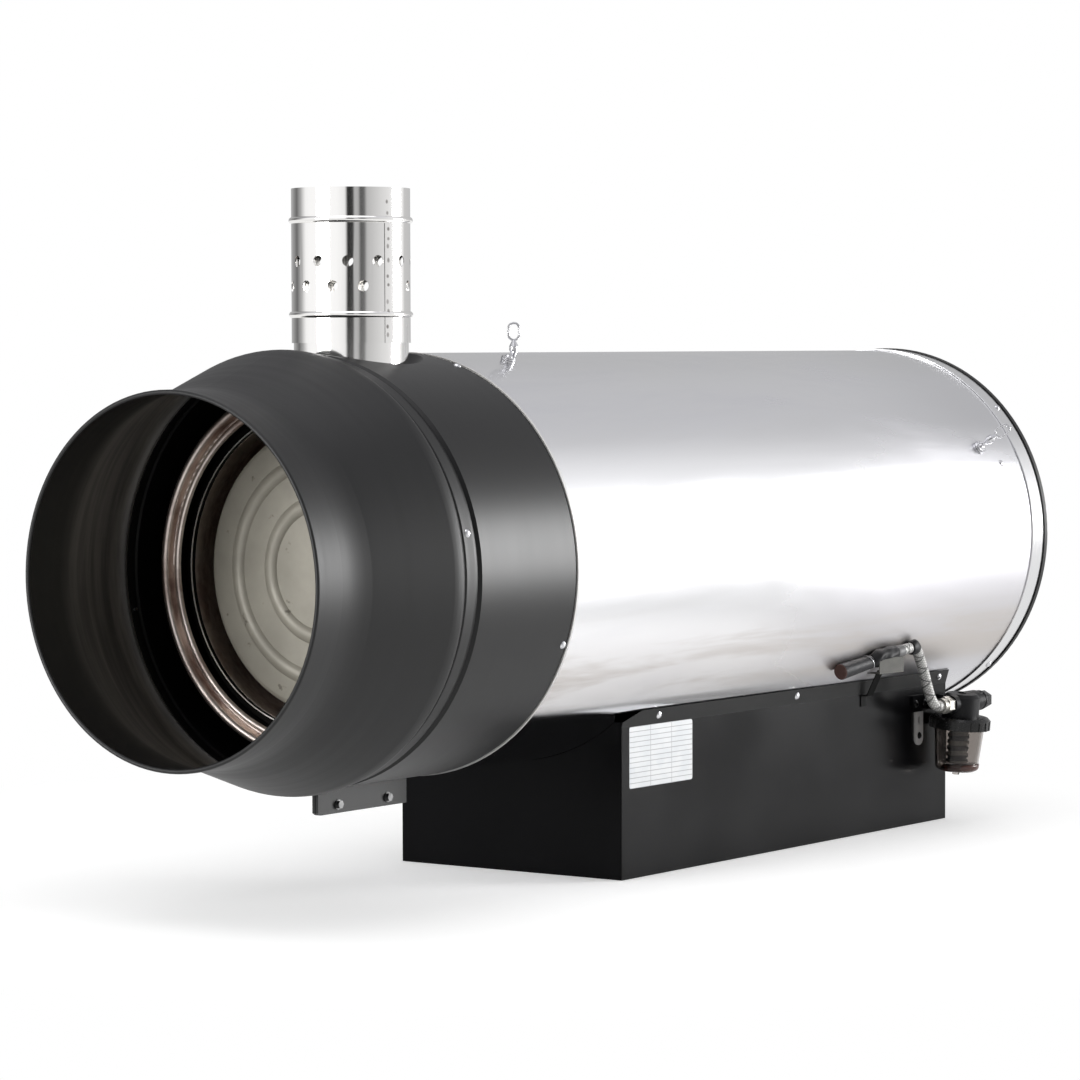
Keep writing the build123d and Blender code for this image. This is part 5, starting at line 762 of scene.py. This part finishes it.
def add_sleeve(line):
    """Sleeve on the hose's end: a grey cuff, a crumpled dark wrap, then smooth tube.

    Returns the circle that its wire ring follows.
    """
    rear = line[-1]
    heading = (line[-1] - line[-2]).normalized()
    steps = 98
    crumple = wrinkles(3, 0.0024)
    outward = Vector((rear.x, 0, rear.z - AXIS_HEIGHT)).normalized()
    side = Vector((0, 0, 1)).cross(heading).normalized()
    up = heading.cross(side)

    def body(distance):
        """Radius at a distance from the rear end, before the folds."""
        if distance < SLEEVE_CUFF_END:
            return SLEEVE_CUFF_RADIUS
        if distance < SLEEVE_WRAP_END:
            share = (distance - SLEEVE_CUFF_END) / (SLEEVE_WRAP_END - SLEEVE_CUFF_END)
            return SLEEVE_WRAP_RADIUS + SLEEVE_WRAP_BULGE * sin(pi * share) ** 0.6
        flare = SLEEVE_TUBE_FLARE * (distance - SLEEVE_WRAP_END) / (SLEEVE_LENGTH - SLEEVE_WRAP_END)
        return SLEEVE_TUBE_RADIUS + flare

    def radius_at(distance, angle):
        radius = body(distance)
        if SLEEVE_CUFF_END < distance < SLEEVE_WRAP_END:
            radius += crumple(distance, angle)
        end = SLEEVE_LENGTH - distance
        if end < SLEEVE_EDGE_ROUND:
            inward = max(SLEEVE_EDGE_ROUND**2 - (SLEEVE_EDGE_ROUND - end) ** 2, 0)
            radius -= SLEEVE_EDGE_ROUND - sqrt(inward)
        return radius

    def place(point, distance):
        """Keep clear of the casing, and of the rest's wall where the sleeve lies in it."""
        point = off_casing(point)
        from_axis = point - rear - heading * distance
        over = from_axis.dot(side) - REST_WALL
        if over > 0 and REST_START < distance < REST_END and from_axis.dot(up) < REST_TOP_BELOW:
            point = point - over * side
        return point

    away = 0.6 * outward + Vector((0, 0, 0.8))
    centres = []
    for k in range(steps + 1):
        distance = SLEEVE_LENGTH * k / steps
        shift = max(body(distance) - SLEEVE_WRAP_RADIUS, 0)
        centres.append(rear + heading * distance + away * shift)
    sleeve = add_tube("hose_end_sleeve", centres, radius_at, TUBE_RUBBER, sides=56, place=place)
    for material in (RUBBER, GREY_WRAP, END_RUBBER):
        sleeve.data.materials.append(material)
    for face in sleeve.data.polygons:
        distance = (face.center - rear).dot(heading)
        if distance < SLEEVE_CUFF_END:
            face.material_index = 2
        elif distance < SLEEVE_WRAP_END:
            face.material_index = 1
        elif distance > SLEEVE_LENGTH - SLEEVE_BROWN_END:
            face.material_index = 3
    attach(sleeve, HEATER)
    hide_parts("hose_sleeve")
    ring_at = SLEEVE_WRAP_END + SLEEVE_WIRE_BEYOND
    middle = centres[round(steps * ring_at / SLEEVE_LENGTH)]
    reach = body(ring_at) + 0.0007
    count = 36
    circle = []
    for k in range(count):
        angle = 2 * pi * k / count
        lean = heading * 0.004 * sin(angle)
        circle.append(off_casing(middle + reach * (cos(angle) * side + sin(angle) * up) + lean))
    return circle


def add_ring(name, points, thick, material):
    """Closed wire ring through a circle's points."""
    sides = 8
    middle = sum(points, Vector()) / len(points)
    vertices, faces = [], []
    for k, point in enumerate(points):
        ahead = (points[(k + 1) % len(points)] - points[k - 1]).normalized()
        out = (point - middle).normalized()
        up = ahead.cross(out).normalized()
        for j in range(sides):
            angle = 2 * pi * j / sides
            vertices.append(point + thick / 2 * (cos(angle) * out + sin(angle) * up))
    for k in range(len(points)):
        after = (k + 1) % len(points)
        for j in range(sides):
            beside = (j + 1) % sides
            faces.append((k * sides + j, after * sides + j, after * sides + beside, k * sides + beside))
    ring = new_mesh(name, vertices, faces, material)
    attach(ring, HEATER)


# Wrap at the bend
BEND_WRAP_HALF = 0.0092
BEND_WRAP_RADIUS = 0.0081
BEND_WRAP_BULGE = 0.0022
BEND_WRAP_KNOT = 0.0024


def add_bend_wrap(line):
    """Rubber strip knotted round the hose at the top of its bend."""
    tie_low, tie_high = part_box("hose_tie")
    middle = (tie_low.y + tie_high.y) / 2
    stretch = [point for point in line if abs(point.y - middle) < BEND_WRAP_HALF]
    length = sum((b - a).length for a, b in zip(stretch, stretch[1:]))
    crumple = wrinkles(8, 0.0011)

    def radius_at(distance, angle):
        share = distance / length
        bulge = sin(pi * min(max(share, 0.02), 0.98)) ** 0.35
        knot = BEND_WRAP_KNOT * max(cos(angle - 1.2), 0) ** 4 * max(sin(pi * share), 0) ** 2
        swell = BEND_WRAP_BULGE * bulge + crumple(distance, angle) * bulge
        return BEND_WRAP_RADIUS + swell + knot

    def place(point, distance):
        return off_casing(point)

    wrap = add_tube("hose_bend_wrap", stretch, radius_at, RUBBER, place=place)
    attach(wrap, HEATER)
    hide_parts("hose_tie")


def add_lathe(name, profile, centre, material, sides=64):
    """Closed solid turned round an upright axis from (radius, height) points that start and end on it."""
    vertices = [Vector((centre.x, centre.y, profile[0][1]))]
    rings = profile[1:-1]
    for radius, height in rings:
        for j in range(sides):
            angle = 2 * pi * j / sides
            out = (radius * cos(angle), radius * sin(angle))
            vertices.append(Vector((centre.x + out[0], centre.y + out[1], height)))
    vertices.append(Vector((centre.x, centre.y, profile[-1][1])))
    last = len(vertices) - 1
    faces = []
    for j in range(sides):
        after = (j + 1) % sides
        faces.append((0, 1 + after, 1 + j))
        for k in range(len(rings) - 1):
            low = 1 + k * sides
            faces.append((low + j, low + after, low + sides + after, low + sides + j))
        top = 1 + (len(rings) - 1) * sides
        faces.append((top + j, top + after, last))
    piece = new_mesh(name, vertices, faces, material)
    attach(piece, HEATER)


def add_fuel():
    """Old fuel left in the bottom of the bowl."""
    floor = BOWL_LOW.z + 0.0055
    inside = 0.0283
    profile = [
        (0.0, floor), (inside - 0.0065, floor), (inside - 0.0025, floor + 0.0016),
        (inside - 0.0005, floor + 0.0045), (inside, floor + 0.008), (inside, floor + 0.0105),
        (0.0, floor + 0.0105),
    ]
    add_lathe("old_fuel", profile, BOWL_CENTRE, OLD_FUEL)


def add_plate():
    """Bare plate with rounded corners, stuck on the right cover."""
    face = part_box("filter_bracket")[0].x
    outline = []
    for corner_along, corner_height, start in ((1, 1, 0), (0, 1, 90), (0, 0, 180), (1, 0, 270)):
        along = PLATE_FRONT + PLATE_CORNER + corner_along * (PLATE_LENGTH - 2 * PLATE_CORNER)
        height = PLATE_BOTTOM + PLATE_CORNER + corner_height * (PLATE_HEIGHT - 2 * PLATE_CORNER)
        for step in range(7):
            angle = radians(start + 15 * step)
            outline.append((along + PLATE_CORNER * cos(angle), height + PLATE_CORNER * sin(angle)))
    count = len(outline)
    vertices = [Vector((face, along, height)) for along, height in outline]
    vertices += [Vector((face + PLATE_THICK, along, height)) for along, height in outline]
    faces = [tuple(reversed(range(count))), tuple(range(count, 2 * count))]
    for k in range(count):
        after = (k + 1) % count
        faces.append((k, after, count + after, count + k))
    plate = new_mesh("cover_plate", vertices, faces, plate_foil(), smooth=False)
    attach(plate, HEATER)


HOSE_LINE = route_line()
BRAID = hose_braid()
add_ring("sleeve_wire", add_sleeve(HOSE_LINE), SLEEVE_WIRE_THICK, ZINC)
add_bend_wrap(HOSE_LINE)
add_hose(HOSE_LINE, BRAID)
add_fuel()
add_plate()


# Studio: pale floor, soft lamps and a white surround
def mixed(tree, share, first, second):
    """Shader between two shaders of a node tree."""
    mix = tree.nodes.new("ShaderNodeMixShader")
    tree.links.new(share, mix.inputs["Fac"])
    tree.links.new(first, mix.inputs[1])
    tree.links.new(second, mix.inputs[2])
    return mix.outputs["Shader"]


def add_stage():
    """Plain pale floor that keeps the object's shadow and turns white with distance."""
    half = 30.0
    drop = 0.0005
    fade_start, fade_end = 0.65, 1.3
    material = bpy.data.materials.new("floor")
    material.use_nodes = True
    tree = material.node_tree
    nodes = tree.nodes
    links = tree.links
    nodes.clear()
    path = nodes.new("ShaderNodeLightPath")

    def glow(to_camera, to_others):
        """White light of one level for the camera and another for the rest."""
        level = nodes.new("ShaderNodeMath")
        level.operation = "MULTIPLY_ADD"
        level.inputs[1].default_value = to_camera - to_others
        level.inputs[2].default_value = to_others
        links.new(path.outputs["Is Camera Ray"], level.inputs[0])
        emission = nodes.new("ShaderNodeEmission")
        emission.inputs["Color"].default_value = (1, 1, 1, 1)
        links.new(level.outputs["Value"], emission.inputs["Strength"])
        return emission.outputs["Emission"]

    diffuse = nodes.new("ShaderNodeBsdfDiffuse")
    diffuse.inputs["Color"].default_value = (0.88, 0.88, 0.88, 1)
    lit = nodes.new("ShaderNodeAddShader")
    links.new(diffuse.outputs["BSDF"], lit.inputs[0])
    links.new(glow(0.28, 0.32), lit.inputs[1])
    reach = nodes.new("ShaderNodeVectorMath")
    reach.operation = "LENGTH"
    links.new(nodes.new("ShaderNodeTexCoord").outputs["Object"], reach.inputs[0])
    fade = nodes.new("ShaderNodeMapRange")
    fade.interpolation_type = "SMOOTHSTEP"
    fade.inputs["From Min"].default_value = fade_start
    fade.inputs["From Max"].default_value = fade_end
    links.new(reach.outputs["Value"], fade.inputs["Value"])
    either = nodes.new("ShaderNodeMath")
    either.operation = "MAXIMUM"
    links.new(path.outputs["Is Camera Ray"], either.inputs[0])
    links.new(path.outputs["Is Glossy Ray"], either.inputs[1])
    faded = mixed(tree, fade.outputs["Result"], lit.outputs["Shader"], glow(1.0, 0.9))
    seen = mixed(tree, either.outputs["Value"], diffuse.outputs["BSDF"], faded)
    links.new(seen, nodes.new("ShaderNodeOutputMaterial").inputs["Surface"])
    corners = [(x * half, y * half, -drop) for x, y in ((-1, -1), (1, -1), (1, 1), (-1, 1))]
    floor = new_mesh("floor", corners, [(0, 1, 2, 3)], material, smooth=False)


def add_lamp(name, place, aim, size, power):
    """Square area lamp at a place, turned to a point."""
    data = bpy.data.lights.new(name, "AREA")
    data.shape = "SQUARE"
    data.size = size
    data.energy = power
    lamp = bpy.data.objects.new(name, data)
    lamp.location = place
    lamp.rotation_euler = (Vector(aim) - Vector(place)).to_track_quat("-Z", "Y").to_euler()
    bpy.context.scene.collection.objects.link(lamp)


def add_world():
    """White surround for the camera, grey and white cards for gloss, plain soft light for the rest."""
    world = bpy.data.worlds.new("studio")
    bpy.context.scene.world = world
    world.use_nodes = True
    tree = world.node_tree
    nodes = tree.nodes
    links = tree.links
    nodes.clear()

    def share(value, low, high):
        """Where a value lies between two ends, from nought to one."""
        node = nodes.new("ShaderNodeMapRange")
        node.inputs["From Min"].default_value = low
        node.inputs["From Max"].default_value = high
        links.new(value, node.inputs["Value"])
        return node.outputs["Result"]

    def ramp(value, stops):
        """Colour at a value, from (position, colour) stops."""
        node = nodes.new("ShaderNodeValToRGB")
        colours = node.color_ramp
        while len(colours.elements) < len(stops):
            colours.elements.new(0.5)
        for element, (position, colour) in zip(colours.elements, stops):
            element.position = position
            element.color = (*colour, 1)
        links.new(value, node.inputs["Fac"])
        return node.outputs["Color"]

    def maths(operation, first, second):
        """Arithmetic on two outputs."""
        node = nodes.new("ShaderNodeMath")
        node.operation = operation
        links.new(first, node.inputs[0])
        links.new(second, node.inputs[1])
        return node.outputs["Value"]

    def surround(colour, strength):
        """Background shader, its colour plain or from an output."""
        node = nodes.new("ShaderNodeBackground")
        if isinstance(colour, tuple):
            node.inputs["Color"].default_value = (*colour, 1)
        else:
            links.new(colour, node.inputs["Color"])
        node.inputs["Strength"].default_value = strength
        return node.outputs["Background"]

    apart = nodes.new("ShaderNodeSeparateXYZ")
    links.new(nodes.new("ShaderNodeTexCoord").outputs["Generated"], apart.inputs["Vector"])
    turn = maths("ARCTAN2", apart.outputs["Y"], apart.outputs["X"])
    by_degrees = [
        (-180, 0.15), (-165, 0.4), (-150, 0.95), (-140, 1.0), (-80, 1.0), (-64, 0.88), (-59, 0.02),
        (-49, 0.05), (-45, 0.46), (-39, 0.44), (-34, 0.1), (-27, 0.14), (-21, 0.5), (12, 0.72),
        (34, 0.82), (46, 1.0), (60, 1.0), (68, 0.88), (76, 0.58), (106, 0.54), (150, 0.42), (180, 0.15),
    ]
    sides = ramp(
        share(turn, -pi, pi),
        [((angle + 180) / 360, (level, level, 1.01 * level)) for angle, level in by_degrees],
    )
    by_height = [(0.0, 0.0), (0.7, 0.0), (0.82, 0.4), (0.95, 1.0), (1.0, 1.0)]
    overhead = ramp(
        share(apart.outputs["Z"], -1, 1),
        [(position, (level, level, level)) for position, level in by_height],
    )
    cards = nodes.new("ShaderNodeMix")
    cards.data_type = "RGBA"
    share_socket, sides_socket, top_socket = (cards.inputs[k] for k in (0, 6, 7))
    top_socket.default_value = (0.64, 0.64, 0.68, 1)
    links.new(overhead, share_socket)
    links.new(sides, sides_socket)
    path = nodes.new("ShaderNodeLightPath")
    through = maths("MAXIMUM", path.outputs["Is Camera Ray"], path.outputs["Is Transmission Ray"])
    white = (1, 1, 1)
    gloss = surround(cards.outputs[2], 1.0)
    unseen = mixed(tree, path.outputs["Is Glossy Ray"], surround(white, 0.5), gloss)
    seen = mixed(tree, through, unseen, surround(white, 1.0))
    links.new(seen, nodes.new("ShaderNodeOutputWorld").inputs["Surface"])


add_stage()
add_world()
MIDDLE = (0, 0, 0.45)
add_lamp("side", (4.0, 4.05, 1.0), MIDDLE, 2.3, 310)
add_lamp("top", (0.0, -1.0, 5.0), MIDDLE, 4.0, 70)
add_lamp("fill", (-1.6, -5.2, 1.3), (0, 0, 0.42), 2.4, 190)
bpy.context.scene.view_settings.view_transform = "Standard"
